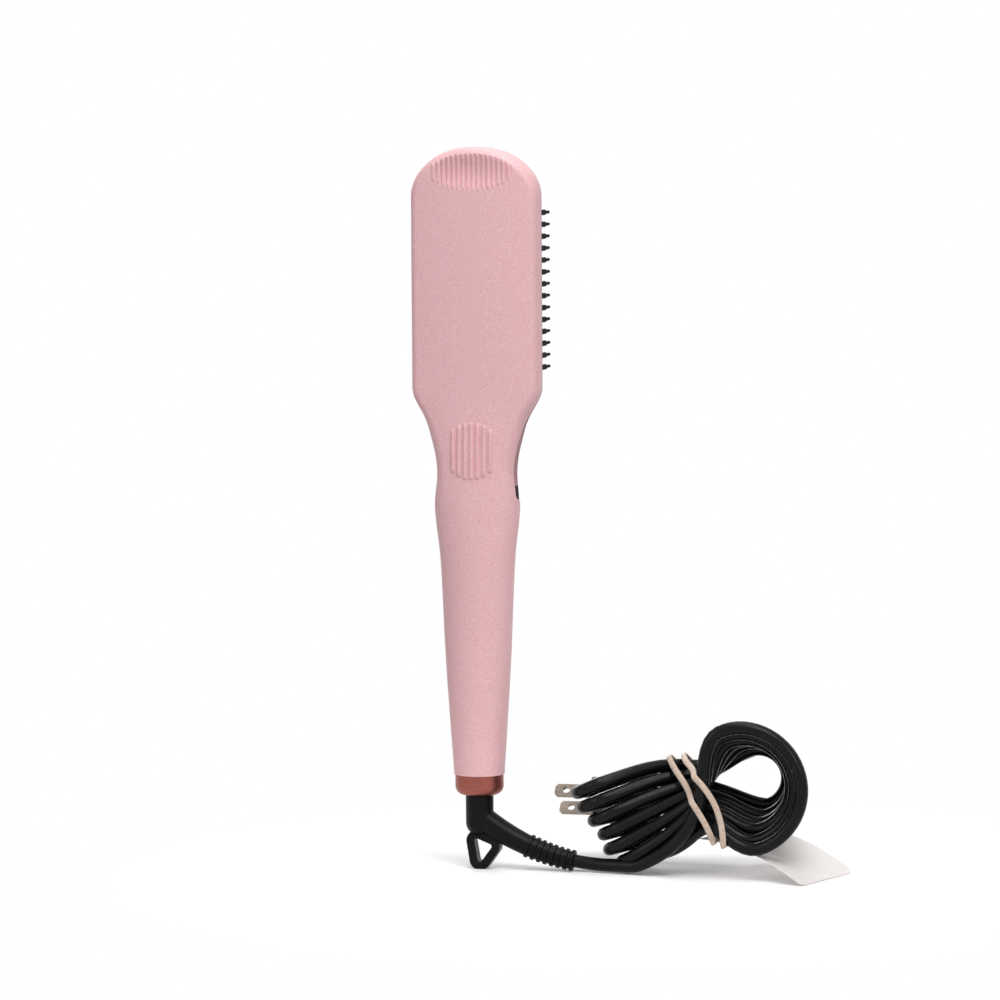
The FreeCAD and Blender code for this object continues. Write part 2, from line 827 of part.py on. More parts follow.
def make_bristles():
    """Build the heated pins with their cool tips, and the guard bristles on the rim."""
    face = size("head_front")
    count = int(size("column_count"))
    pins = []
    tips = []
    for height in row_heights():
        for column in range(count):
            across = (column - (count - 1) / 2) * size("column_pitch")
            pins.append(rod(size("pin_radius"), across, height, face, face + size("pin_length")))
            base = Vector(across, face + size("pin_length"), height)
            tips.append(round_pin(size("tip_radius"), size("tip_length"), base))
    feature("heating_pins", Part.makeCompound(pins))
    feature("bristle_tips", Part.makeCompound(tips))
    guards = []
    offset = number("head_half_width - front_step - edge_bristle_inset")
    for height in row_heights():
        for across in (offset, -offset):
            shoulder = face + size("edge_base_length")
            base = rod(size("edge_base_radius"), across, height, face, shoulder)
            foot = Vector(across, shoulder, height)
            tip = round_pin(size("edge_tip_radius"), size("edge_tip_length"), foot)
            guards.append(base.fuse(tip))
    feature("edge_bristles", Part.makeCompound(guards))


HEATER_BOTTOM = PLATE_MIDDLE + " - 0.5 * " + HEATER_LENGTH
CLAMP_BACK = "(%s - insulation_thickness - clamp_thickness)" % HEATER_BACK


def make_heater_stack():
    """Build the heaters, their insulation and clamp, and the sensors on the plate."""
    heaters = []
    for side in ("", "-"):
        corner = ("%s heater_offset - 0.5 * heater_width" % side, HEATER_BACK, HEATER_BOTTOM)
        heaters.append(box("heater", corner, ("heater_width", "heater_thickness", HEATER_LENGTH)))
    group("heater_elements", heaters)

    half = "(heater_offset + 0.5 * heater_width + insulation_margin)"
    sheet = box("insulation", ("-" + half, HEATER_BACK + " - insulation_thickness", HEATER_BOTTOM),
                ("2 * " + half, "insulation_thickness", HEATER_LENGTH))
    node(sheet, "insulation_sheet")

    reach = "(clamp_screw_offset + clamp_edge)"
    rise = "(0.5 * %s + clamp_edge)" % CLAMP_SPREAD
    bar = box("clamp_bar", ("-" + reach, CLAMP_BACK, PLATE_MIDDLE + " - " + rise),
              ("2 * " + reach, "clamp_thickness", "2 * " + rise))
    low = PLATE_MIDDLE + " - 0.5 * " + CLAMP_SPREAD
    openings = [box("clamp_window", ("-0.5 * clamp_window_width", CLAMP_BACK, low),
                    ("clamp_window_width", "clamp_thickness", CLAMP_SPREAD))]
    screws = []
    for across, up in clamp_places():
        hole = post("clamp_hole", (across, CLAMP_BACK, up), "screw_radius + screw_hole_clearance",
                    "clamp_thickness", "y")
        openings.append(hole)
        shank = post("clamp_shank", (across, CLAMP_BACK, up), "screw_radius", "clamp_screw_length", "y")
        head = post("clamp_head", (across, CLAMP_BACK + " - screw_head_thickness", up),
                    "screw_head_radius", "screw_head_thickness", "y")
        screws.append(fuse("clamp_screw", [shank, head]))
    node(cut("clamp_cut", bar, fuse("clamp_openings", openings)), "heater_clamp")
    group("clamp_screws", screws)

    sensor = box("sensor", ("-0.5 * sensor_width", PLATE_BACK + " - sensor_thickness",
                            PLATE_MIDDLE + " - 0.5 * sensor_gap - sensor_length"),
                 ("sensor_width", "sensor_thickness", "sensor_length"))
    node(sensor, "thermistor")
    fuse_body = post("fuse_body", ("0", PLATE_BACK + " - fuse_radius - plate_clearance",
                                   PLATE_MIDDLE + " + 0.5 * sensor_gap"), "fuse_radius", "fuse_length")
    node(fuse_body, "thermal_fuse")


def make_casing_screws():
    """Build the screws that join the front casing to the bosses of the rear casing, with cross slots."""
    screws = []
    narrow, broad = size("screw_slot_width") / 2, size("screw_slot_length") / 2
    for across, height, seat in screw_places():
        top = seat + size("screw_head_thickness")
        shank = rod(size("screw_radius"), across, height, seat - size("screw_length"), seat)
        head = rod(size("screw_head_radius"), across, height, seat, top)
        floor = top - size("screw_slot_depth")
        slots = [slab(across - half, across + half, floor, top, height - reach, height + reach)
                 for half, reach in ((narrow, broad), (broad, narrow))]
        screws.append(shank.fuse(head).cut(slots))
    feature("casing_screws", Part.makeCompound(screws))


# Boards, display and buttons
PANEL_TOP = level("neck") + " - panel_top_below_neck"
BOARD_FRONT = "(control_board_depth + control_board_thickness)"
POWER_FRONT = "(power_board_thickness - power_board_depth)"
POWER_BOTTOM = level("end") + " + power_board_above_end"
WINDOW_MIDDLE = PANEL_TOP + " - window_drop"
BUTTONS = ("power_button", "temp_down_button", "temp_up_button")


def control_board_bottom():
    """Return the formula for the lower edge of the control board."""
    return PANEL_TOP + " - control_board_drop - control_board_length"


def button_height(index):
    """Return the formula for the height of a button, counted from the cord end."""
    return PANEL_TOP + " - panel_length + power_button_above_panel_end + %d * button_pitch" % index


def button_radius(label):
    """Return the radius of a button."""
    return size("power_button_radius" if label == "power_button" else "temp_button_radius")


def panel_holes(reach):
    """Return the cutters for the window and the buttons of the control panel."""
    low = number(WINDOW_MIDDLE + " - 0.5 * window_height")
    half = size("window_half_width")
    back = number(BOARD_FRONT)
    holes = [slab(-half, half, back, reach, low, low + size("window_height"))]
    for index, label in enumerate(BUTTONS):
        radius = button_radius(label) + size("button_clearance")
        holes.append(rod(radius, 0, number(button_height(index)), back, reach))
    return holes


def make_panel_pieces(inner, front_outer):
    """Build the display window, the display and the three buttons."""
    gap = size("window_clearance")
    half = size("window_half_width") - gap
    low = number(WINDOW_MIDDLE + " - 0.5 * window_height") + gap
    high = low + size("window_height") - 2 * gap
    pane = slab(-half, half, number(BOARD_FRONT), REACH, low, high)
    feature("display_window", front_outer.common(pane).cut(inner))

    corner = ("-(window_half_width + display_margin)", BOARD_FRONT,
              WINDOW_MIDDLE + " - 0.5 * window_height - display_margin")
    sides = ("2 * (window_half_width + display_margin)", "display_thickness",
             "window_height + 2 * display_margin")
    node(box("display", corner, sides), "display_module")

    back = number(BOARD_FRONT + " + switch_thickness + switch_stem_length + switch_gap")
    for index, label in enumerate(BUTTONS):
        height = number(button_height(index))
        radius = button_radius(label)
        face = front_surface(height, 0) + size("button_proud")
        cap = rod(radius, 0, height, back, face)
        rim = [edge for edge in cap.Edges if edge.BoundBox.YMin > face - gap]
        cap = cap.makeFillet(size("button_proud"), rim)
        flange = rod(radius + size("button_flange"), 0, height, back, back + size("button_flange_thickness"))
        feature(label, cap.fuse(flange))


def make_boards():
    """Build both boards with what is soldered on them."""
    board = box("control", ("-control_board_half_width", "control_board_depth", control_board_bottom()),
                ("2 * control_board_half_width", "control_board_thickness", "control_board_length"))
    node(board, "control_board")
    switches = []
    for index in range(len(BUTTONS)):
        middle = button_height(index)
        body = box("switch_body", ("-0.5 * switch_width", BOARD_FRONT, middle + " - 0.5 * switch_width"),
                   ("switch_width", "switch_thickness", "switch_width"))
        stem = post("switch_stem", ("0", BOARD_FRONT + " + switch_thickness", middle),
                    "switch_stem_radius", "switch_stem_length", "y")
        switches.append(fuse("switch", [body, stem]))
    group("tact_switches", switches)

    board = box("power", ("-power_board_half_width", "-power_board_depth", POWER_BOTTOM),
                ("2 * power_board_half_width", "power_board_thickness", "power_board_length"))
    node(board, "power_board")
    start = POWER_BOTTOM + " + component_gap"
    relay = box("relay", ("-0.5 * relay_width", POWER_FRONT, start),
                ("relay_width", "relay_depth", "relay_length"))
    start += " + relay_length + component_gap"
    capacitor = post("capacitor", ("0", POWER_FRONT, start + " + capacitor_radius"),
                     "capacitor_radius", "capacitor_length", "y")
    start += " + 2 * capacitor_radius + component_gap"
    triac = box("triac", ("-0.5 * triac_width", POWER_FRONT, start),
                ("triac_width", "triac_depth", "triac_length"))
    start += " + triac_length + component_gap"
    group("power_components", [relay, capacitor, triac])
    link = box("connector", ("-0.5 * connector_width", POWER_FRONT, start),
               ("connector_width", "control_board_depth - " + POWER_FRONT, "connector_length"))
    node(link, "board_connector")


# Tubes for wires and cord
ARC_SHARE = 0.45


def rounded_path(points):
    """Join points by straight runs and the largest tangent arcs that their runs allow.

    Returns:
        The edges, in order, and the arc radii.
    """
    edges = []
    radii = []
    start = points[0]
    for before, corner, after in zip(points, points[1:], points[2:]):
        back = (before - corner)
        ahead = (after - corner)
        shorter = min(back.Length, ahead.Length)
        back.normalize()
        ahead.normalize()
        half_turn = (math.pi - back.getAngle(ahead)) / 2
        radius = ARC_SHARE * shorter / math.tan(half_turn)
        enter = corner + back * (ARC_SHARE * shorter)
        leave = corner + ahead * (ARC_SHARE * shorter)
        inward = (back + ahead).normalize()
        middle = corner + inward * (radius / math.cos(half_turn) - radius)
        edges.append(Part.LineSegment(start, enter).toShape())
        edges.append(Part.Arc(enter, middle, leave).toShape())
        radii.append(radius)
        start = leave
    edges.append(Part.LineSegment(start, points[-1]).toShape())
    return edges, radii


def tube(label, edges, diameter):
    """Return a tube along a path, and print how its volume compares with section times length."""
    path = Part.Wire(edges)
    first = edges[0]
    heading = first.tangentAt(first.FirstParameter)
    ring = Part.Wire(Part.makeCircle(diameter / 2, first.valueAt(first.FirstParameter), heading))
    solid = path.makePipeShell([ring], True, False)
    share = solid.Volume / (math.pi * diameter ** 2 / 4 * path.Length)
    print("%s: length %.1f, volume share %.4f" % (label, path.Length, share))
    return solid


WIRE_END_SHARE = 0.3


def wire_route(start, stop):
    """Return an S-shaped route between two ends that both point along Z."""
    run = Vector(0, 0, (stop.z - start.z) * WIRE_END_SHARE)
    return [start, start + run, stop - run, stop]


def make_wires():
    """Build the wires inside the casing."""
    diameter = size("wire_diameter")
    board_middle = number("0.5 * power_board_thickness - power_board_depth")
    board_top = number(POWER_BOTTOM + " + power_board_length")
    solder = number("0.5 * power_board_half_width")
    leads = []
    mains = []
    for side in (1, -1):
        start = Vector(side * size("heater_offset"), number(HEATER_BACK + " + 0.5 * heater_thickness"),
                       number(HEATER_BOTTOM))
        stop = Vector(side * solder, board_middle, board_top)
        leads.append(tube("heater lead", rounded_path(wire_route(start, stop))[0], diameter))
        start = Vector(side * number("spring_radius + 0.5 * spring_thickness"), 0, number(SPRING_TOP))
        stop = Vector(side * solder, board_middle, number(POWER_BOTTOM))
        mains.append(tube("mains lead", rounded_path(wire_route(start, stop))[0], diameter))
    feature("heater_leads", Part.makeCompound(leads))
    feature("mains_leads", Part.makeCompound(mains))
    start = Vector(0, number(PLATE_BACK + " - 0.5 * sensor_thickness"),
                   number(PLATE_MIDDLE + " - 0.5 * sensor_gap - sensor_length"))
    stop = Vector(0, number("control_board_depth + 0.5 * control_board_thickness"),
                  number(control_board_bottom() + " + control_board_length"))
    feature("sensor_lead", tube("sensor lead", rounded_path(wire_route(start, stop))[0], diameter))


# Swivel at the cord end
END = level("end")
RING_BOTTOM = "(%s - ring_height)" % END
COLLAR_TOP = "(%s - collar_gap)" % RING_BOTTOM
COLLAR_BOTTOM = "(%s - collar_height)" % COLLAR_TOP
BUSH_TOP = "(%s + bush_above_end)" % END
JOURNAL_TOP = "(%s + clip_clearance)" % BUSH_TOP
SLIP_START = "(%s + clip_thickness + slip_ring_start)" % JOURNAL_TOP
SPRING_TOP = "(%s + slip_ring_pitch + slip_ring_height)" % SLIP_START


def make_end_ring():
    """Build the metal ring that closes the handle, with a round lower edge."""
    hole = "(spindle_radius + spindle_hole_clearance)"
    lip = RING_BOTTOM + " + ring_lip"
    body = turned_body("ring", [(hole, RING_BOTTOM), ("ring_radius", RING_BOTTOM), ("ring_radius", END),
                                ("bush_radius", END), ("bush_radius", lip), (hole, lip)])
    DOC.recompute()
    turn = body.Tip
    low = number(RING_BOTTOM)
    names = ["Edge%d" % (index + 1) for index, edge in enumerate(turn.Shape.Edges)
             if edge.BoundBox.ZMax < low + LEAST_CORNER and edge.BoundBox.XMax > number(hole) + LEAST_CORNER]
    rounding = body.newObject("PartDesign::Fillet", "ring_edge_round")
    rounding.Base = (turn, names[:1])
    bind(rounding, "Radius", "ring_edge")
    body.Tip = rounding
    node(body, "end_ring")


def washer(name, start, outer, inner, thickness):
    """Make a flat ring about the swivel axis from formulas."""
    disc = post(name + "_disc", ("0", "0", start), outer, thickness)
    hole = post(name + "_hole", ("0", "0", start), inner, thickness)
    return cut(name, disc, hole)


def make_swivel():
    """Build bush, spindle, slip rings, clip and contact springs."""
    make_end_ring()
    bore = "(spindle_radius + running_clearance)"
    seat = RING_BOTTOM + " + ring_lip"
    node(turned_body("bush", [(bore, seat), ("bush_radius", seat), ("bush_radius", BUSH_TOP),
                              (bore, BUSH_TOP)]), "swivel_bush")
    top = SPRING_TOP + " + slip_ring_start"
    node(turned_body("spindle", [("0", COLLAR_BOTTOM), ("collar_radius", COLLAR_BOTTOM),
                                 ("collar_radius", COLLAR_TOP), ("spindle_radius", COLLAR_TOP),
                                 ("spindle_radius", JOURNAL_TOP), ("spindle_stem_radius", JOURNAL_TOP),
                                 ("spindle_stem_radius", top), ("0", top)]), "swivel_spindle")
    inner = "(spindle_stem_radius + slip_ring_seat_clearance)"
    rings = [washer("slip_ring", SLIP_START + step, "slip_ring_radius", inner, "slip_ring_height")
             for step in ("", " + slip_ring_pitch")]
    group("slip_rings", rings)
    node(washer("clip", JOURNAL_TOP, "clip_radius", inner, "clip_thickness"), "retaining_clip")
    springs = []
    reach = "(spring_radius - slip_ring_radius - contact_gap)"
    for side, step in ((1, ""), (-1, " + slip_ring_pitch")):
        low = "spring_radius" if side > 0 else "-spring_radius - spring_thickness"
        leaf = box("spring_leaf", (low, "-0.5 * spring_width", BUSH_TOP),
                   ("spring_thickness", "spring_width", SPRING_TOP + " - " + BUSH_TOP))
        inside = "(slip_ring_radius + contact_gap)" if side > 0 else "-spring_radius"
        middle = SLIP_START + step + " + 0.5 * slip_ring_height"
        finger = box("spring_finger", (inside, "-0.5 * spring_width", middle + " - 0.5 * spring_thickness"),
                     (reach, "spring_width", "spring_thickness"))
        springs.append(fuse("contact_spring", [leaf, finger]))
    group("contact_springs", springs)


# Cord boot
ARM_PARTS = 200
PLAIN_PARTS = 4
RIB_PROFILE = ((0.0, 0), (0.4, 0), (0.5, 1), (0.9, 1))


def arm_axis():
    """Return points along the middle line of the boot's arm, finely spaced."""
    start = Vector(0, 0, size("arm_start_height"))
    stop = Vector(size("arm_end_reach"), 0, size("arm_end_height"))
    third = (stop - start).Length / 3
    begin, finish = math.radians(size("arm_drop_start")), math.radians(size("arm_drop_end"))
    near = start + Vector(math.cos(begin), 0, -math.sin(begin)) * third
    far = stop - Vector(math.cos(finish), 0, -math.sin(finish)) * third
    points = []
    for index in range(ARM_PARTS + 1):
        part = index / ARM_PARTS
        rest = 1 - part
        points.append(start * rest ** 3 + near * (3 * part * rest ** 2)
                      + far * (3 * part ** 2 * rest) + stop * part ** 3)
    return points


def along(points, distance):
    """Return the place and heading at a distance along a run of points."""
    for before, after in zip(points, points[1:]):
        step = (after - before).Length
        if distance <= step or after is points[-1]:
            heading = (after - before).normalize()
            return before + heading * distance, heading
        distance -= step
    return points[-1], heading


def make_boot():
    """Build the angled boot: elbow, ribbed arm and a hanging loop with a flat foot."""
    points = arm_axis()
    length = sum((after - before).Length for before, after in zip(points, points[1:]))
    ribs = int(size("arm_rib_count"))
    pitch = size("arm_rib_pitch")
    ribbed = length - ribs * pitch
    stations = [(ribbed * part / PLAIN_PARTS, 0.0) for part in range(PLAIN_PARTS)]
    for rib in range(ribs):
        begin = ribbed + rib * pitch
        stations += [(begin + part * pitch, raised * size("arm_rib_height")) for part, raised in RIB_PROFILE]
    stations.append((length, 0.0))
    wires = []
    taper = size("arm_end_radius") - size("arm_start_radius")
    for distance, extra in stations:
        place, heading = along(points, distance)
        circle = Part.Circle(place, heading, size("arm_start_radius") + taper * distance / length + extra)
        circle.XAxis = Vector(0, 1, 0)
        wires.append(Part.Wire(circle.toShape()))
    arm = Part.makeLoft(wires, True, True)

    radius = size("collar_radius")
    top = number(COLLAR_BOTTOM)
    bend = Vector(0, 0, size("elbow_height"))
    elbow = Part.makeCylinder(radius, top - bend.z, bend).fuse(Part.makeSphere(radius, bend))

    half = size("loop_thickness") / 2
    names = ("top", "side", "foot")
    corners = [Vector(size("loop_%s_across" % name), -half, size("loop_%s_height" % name)) for name in names]
    triangle = Part.makePolygon(corners + corners[:1])
    corner = size("loop_hole_corner")
    rim = Part.Face(triangle.makeOffset2D(corner + size("strut_width")))
    hole = Part.Face(triangle.makeOffset2D(corner))
    loop = rim.extrude(Vector(0, 2 * half, 0))
    boot = loop.fuse([elbow, arm]).cut(hole.extrude(Vector(0, 2 * half, 0)))
    boot = boot.common(slab(-REACH, 2 * REACH, -REACH, REACH, 0, top))
    feature("cord_boot", boot.removeSplitter())


# Cord, hank and what lies on the cord
def hank_axes():
    """Return the hank's middle, its axis and the direction square to it in the upright plane."""
    rise = math.radians(size("hank_rise"))
    middle = Vector(size("hank_across"), size("hank_depth"), size("hank_height"))
    return middle, Vector(math.cos(rise), 0, math.sin(rise)), Vector(-math.sin(rise), 0, math.cos(rise))


def twist(place):
    """Return the hank's twist and its rate at a place along the axis: a quarter turn in all."""
    span = size("twist_stop") - size("twist_start")
    part = min(max((place - size("twist_start")) / span, 0.0), 1.0)
    angle = -math.pi / 2 * (1 - part * part * (3 - 2 * part))
    rate = math.pi / 2 * 6 * part * (1 - part) / span
    return angle, rate


def hank_directions(place):
    """Return the two directions of the hank's section at a place along its axis."""
    upright = hank_axes()[2]
    angle = twist(place)[0]
    back = Vector(0, 1, 0)
    across = upright * math.cos(angle) + back * math.sin(angle)
    stack = back * math.cos(angle) - upright * math.sin(angle)
    return across, stack


def hank_key(turn, place, out, heading_along, heading_across):
    """Return one point of the hank and the heading there.

    Args:
        turn: how many turns lie before the point; each turn is one pitch further along the stack.
        place: distance along the hank's axis.
        out: distance from the middle of the loop.
        heading_along, heading_across: the heading in the loop's own plane.
    """
    middle, axis = hank_axes()[:2]
    across, stack = hank_directions(place)
    layer = (turn - size("hank_turns") / 2) * size("hank_pitch")
    spin = axis.cross(across * out + stack * layer) * -twist(place)[1]
    heading = (axis + spin) * heading_along + across * heading_across
    return middle + axis * place + across * out + stack * layer, heading.normalize()


def loop_end(turn):
    """Return where along the axis the round end of a loop is centred, and its radius."""
    swing = size("hank_loop_swing")
    radius = size("hank_loop_radius") + swing * math.sin(size("hank_right_beat") * (turn + 0.5))
    right = size("hank_right") + (radius - size("hank_loop_radius") - swing) * size("hank_right_share")
    return right - radius, radius


def loop_keys(turn):
    """Return the key points of one loop, from its left end round to its lower waist."""
    layer = (turn + 0.5 - size("hank_turns") / 2) * size("hank_pitch")
    stagger = size("hank_stagger") * math.sin(size("hank_left_beat") * turn)
    left = stagger - size("hank_left") - size("hank_lean") * layer
    place, radius = loop_end(turn)
    waist = size("hank_waist")
    return [
        hank_key(turn, left, 0, 0, 1),
        hank_key(turn + 0.25, 0, waist, 1, 0),
        hank_key(turn + 0.4, place, radius, 1, 0),
        hank_key(turn + 0.5, place + radius, 0, 0, -1),
        hank_key(turn + 0.6, place, -radius, -1, 0),
        hank_key(turn + 0.75, 0, -waist, -1, 0),
    ]


def lead_points():
    """Return the corners of the cord from the boot to the hank, and its last heading."""
    axis = arm_axis()
    heading = along(axis, float("inf"))[1]
    rise = math.radians(size("lead_rise"))
    turn = math.radians(size("lead_turn"))
    level_run = math.cos(rise)
    last_heading = Vector(level_run * math.cos(turn), -level_run * math.sin(turn), math.sin(rise))
    corner = axis[-1] + heading * size("lead_reach")
    return [axis[-1], corner, corner + last_heading * size("lead_run")], last_heading


def hank_keys():
    """Return all key points of the hank, between its straight ends."""
    corners, heading = lead_points()
    keys = [(corners[-1] + heading * size("cord_diameter"), heading)]
    keys += loop_keys(0)[1:]
    last = int(size("hank_turns"))
    for turn in range(1, last):
        keys += loop_keys(turn)
    keys += loop_keys(last)[:4]
    place, out = loop_end(last)
    keys.append(hank_key(size("hank_turns"), place, -out, -1, size("hank_end_lift")))
    return keys


LEAST_SIDEWAYS = 1e-6
LEAST_SPREAD = 1e-9
STRAIGHT_RADIUS = 1e9


def arc_edge(start, heading, stop):
    """Return the arc that leaves a point along a heading and ends at another point."""
    chord = stop - start
    sideways = chord - heading * chord.dot(heading)
    if sideways.Length < LEAST_SIDEWAYS:
        return Part.LineSegment(start, stop).toShape(), STRAIGHT_RADIUS
    radius = chord.Length ** 2 / (2 * sideways.Length)
    centre = start + sideways.normalize() * radius
    middle = ((start - centre) + (stop - centre)).normalize() * radius
    if chord.dot(heading) < 0:
        middle = middle * -1
    return Part.Arc(start, centre + middle, stop).toShape(), radius


def biarc(start, heading, stop, last_heading):
    """Return the two tangent arcs between two points with given headings, and their radii."""
    chord = stop - start
    total = heading + last_heading
    spread = 2 * (1 - heading.dot(last_heading))
    if spread < LEAST_SPREAD:
        reach = chord.dot(chord) / (4 * chord.dot(last_heading))
    else:
        reach = (math.sqrt(chord.dot(total) ** 2 + spread * chord.dot(chord)) - chord.dot(total)) / spread
    joint = (start + stop + (heading - last_heading) * reach) * 0.5
    joint_heading = (stop - last_heading * reach - start - heading * reach).normalize()
    first, first_radius = arc_edge(start, heading, joint)
    second, second_radius = arc_edge(joint, joint_heading, stop)
    return [first, second], [first_radius, second_radius]


def hank_path():
    """Return the hank's edges with straight ends, and the least arc radius."""
    keys = hank_keys()
    straight = size("cord_diameter")
    edges = []
    radii = []
    first, heading = keys[0]
    edges.append(Part.LineSegment(first - heading * straight, first).toShape())
    for (start, start_heading), (stop, stop_heading) in zip(keys, keys[1:]):
        arcs, sizes = biarc(start, start_heading, stop, stop_heading)
        edges += arcs
        radii += sizes
    last, heading = keys[-1]
    edges.append(Part.LineSegment(last, last + heading * straight).toShape())
    return edges, min(radii)


SAMPLE_STEP = 2.0
NEIGHBOUR_DIAMETERS = 4


def path_points(edges):
    """Return evenly spaced points along a path, each with its distance along it."""
    points = []
    start = 0.0
    for edge in edges:
        count = max(2, int(edge.Length / SAMPLE_STEP))
        low, high = edge.FirstParameter, edge.LastParameter
        for index in range(count):
            part = index / count
            points.append((start + edge.Length * part, edge.valueAt(low + (high - low) * part)))
        start += edge.Length
    return points


def least_gap(points, diameter):
    """Return the least gap between stretches of one tube that aren't neighbours along it."""
    least = math.inf
    place = None
    for index, (distance, point) in enumerate(points):
        for other_distance, other in points[index + 1:]:
            if other_distance - distance > NEIGHBOUR_DIAMETERS * diameter:
                gap = point.distanceToPoint(other) - diameter
                if gap < least:
                    least = gap
                    place = point
    return least, place


BAND_PARTS = 60


def make_bands(points):
    """Build two rubber bands round the waist, just clear of the strands that they hold.

    Returns:
        Points on the outside of the bands.
    """
    middle, axis = hank_axes()[:2]
    radius = size("cord_diameter") / 2
    width = size("band_width")
    gap = size("band_clearance")
    bands = []
    outside = []
    for place in (size("band_first"), size("band_second")):
        across, stack = hank_directions(place)
        near = [point - middle for distance, point in points
                if abs((point - middle).dot(axis) - place) < width / 2 + SAMPLE_STEP]
        half_out = max(abs(point.dot(across)) for point in near)
        half_stack = max(abs(point.dot(stack)) for point in near)
        base = middle + axis * (place - width / 2)
        corners = [base + across * (side * half_out) + stack * (end * half_stack)
                   for side, end in ((1, 1), (1, -1), (-1, -1), (-1, 1))]
        frame = Part.makePolygon(corners + corners[:1])
        inner = Part.Face(frame.makeOffset2D(radius + gap))
        outer = Part.Face(frame.makeOffset2D(radius + gap + size("band_thickness")))
        bands.append(outer.cut(inner).extrude(axis * width))
        edge = outer.OuterWire.discretize(BAND_PARTS)
        outside += edge + [point + axis * width for point in edge]
        print("band: half sizes %.1f and %.1f" % (half_out, half_stack))
    feature("rubber_bands", Part.makeCompound(bands))
    return outside


def plug_entry():
    """Return where the cord enters the plug."""
    return Vector(size("plug_across"), size("plug_depth"), size("plug_height"))


def make_cord():
    """Build the cord from the boot through the hank to the plug, with its bands.

    Returns:
        Points of the hank and its bands, each with the radius of what surrounds it.
    """
    diameter = size("cord_diameter")
    edges, least_radius = hank_path()
    points = path_points(edges)
    gap, place = least_gap(points, diameter)
    print("hank: least radius %.2f, least gap to itself %.2f at %s" % (least_radius, gap, place))
    print("hank: lowest %.2f" % (min(point.z for distance, point in points) - diameter / 2))
    feature("cord_hank", tube("hank", edges, diameter))
    band_points = make_bands(points)

    lead, radii = rounded_path(lead_points()[0])
    print("lead radii", ["%.1f" % radius for radius in radii])
    feature("cord_lead", tube("lead", lead, diameter))
    last = edges[-1]
    stop = last.valueAt(last.LastParameter)
    corner = stop + last.tangentAt(last.LastParameter) * size("tail_run")
    entry = plug_entry()
    tail, radii = rounded_path([stop, corner, entry + Vector(size("tail_run"), 0, 0), entry])
    print("tail from %s, radii" % stop, ["%.1f" % radius for radius in radii])
    feature("cord_tail", tube("tail", tail, diameter))
    radius = diameter / 2
    return [(point, radius) for distance, point in points] + [(point, 0.0) for point in band_points]


def make_plug():
    """Build the moulded plug and its two blades, pointing along -X and rolled toward the viewer."""
    length = size("plug_length")
    relief = size("plug_relief_length")
    wide, thick = size("plug_width"), size("plug_thickness")
    block = slab(-length, 0, -thick / 2, thick / 2, -wide / 2, wide / 2)
    long_edges = [edge for edge in block.Edges if edge.BoundBox.XLength > length / 2]
    block = block.makeFillet(size("plug_corner"), long_edges)
    back_edges = [edge for edge in block.Edges if edge.BoundBox.XMax < -length + LEAST_CORNER]
    block = block.makeFillet(size("plug_back_corner"), back_edges)
    overlap = size("plug_back_corner")
    cone = Part.makeCone(size("plug_relief_radius"), size("plug_neck_radius"), relief + overlap,
                         Vector(overlap - length, 0, 0), Vector(-1, 0, 0))
    body = block.fuse(cone).removeSplitter()

    blades = []
    reach = size("blade_length")
    half = size("blade_width") / 2
    thin = size("blade_thickness") / 2
    slope = size("blade_chamfer")
    for side in (1, -1):
        low = side * size("blade_spacing") / 2 - thin
        corners = [Vector(0, -half, low), Vector(reach - slope, -half, low), Vector(reach, slope - half, low),
                   Vector(reach, half - slope, low), Vector(reach - slope, half, low), Vector(0, half, low)]
        blade = Part.Face(Part.makePolygon(corners + corners[:1])).extrude(Vector(0, 0, 2 * thin))
        centre = Vector(reach - size("blade_hole_inset"), 0, low)
        blades.append(blade.cut(Part.makeCylinder(size("blade_hole_radius"), 2 * thin, centre)))

    roll = FreeCAD.Rotation(Vector(1, 0, 0), size("plug_roll"))
    about = FreeCAD.Rotation(Vector(0, 0, 1), 180)
    base = plug_entry() - Vector(length + relief, 0, 0)
    seat = FreeCAD.Placement(base, roll.multiply(about))
    feature("plug_body", body).Placement = seat
    feature("plug_blades", Part.makeCompound(blades)).Placement = seat


LEAST_PART = 0.01


def tag_lift(obstacles, seat):
    """Return how far the tag can rise along its length and stay clear of what lies above it."""
    used = size("tag_cord_gap") + size("tag_thickness") + size("tag_floor_gap")
    back = seat.inverse()
    lifts = []
    for point, radius in obstacles:
        place = back.multVec(point)
        if 0 < place.x + radius < size("tag_length") + 2 * radius and abs(
                place.y + size("tag_width") / 2) < size("tag_width") / 2 + radius:
            part = min(max(place.x / size("tag_length"), LEAST_PART), 1.0)
            lifts.append((place.z - radius - used) / (part * (2 - part)))
    return min(lifts)


def make_tag(obstacles):
    """Build the blank paper tag: its near edge lies on the floor and it rises to the cord."""
    corner = Vector(size("tag_across"), size("tag_depth"), 0)
    seat = FreeCAD.Placement(corner, FreeCAD.Rotation(Vector(0, 0, 1), size("tag_turn")))
    reach = size("tag_length")
    low = size("tag_floor_gap")
    high = low + tag_lift(obstacles, seat)
    print("tag: rises to %.2f" % high)
    curves = []
    for lift in (0.0, size("tag_thickness")):
        curve = Part.BezierCurve()
        near = Vector(0, 0, low + lift)
        curve.setPoles([near, Vector(reach / 2, 0, high + lift), Vector(reach, 0, high + lift)])
        curves.append(curve)
    under, upper = curves
    edges = [under.toShape(), Part.LineSegment(under.getPole(3), upper.getPole(3)).toShape(),
             upper.toShape(), Part.LineSegment(upper.getPole(1), under.getPole(1)).toShape()]
    sheet = wire_face(Part.sortEdges(edges)[0]).extrude(Vector(0, -size("tag_width"), 0))
    feature("cord_tag", sheet).Placement = seat


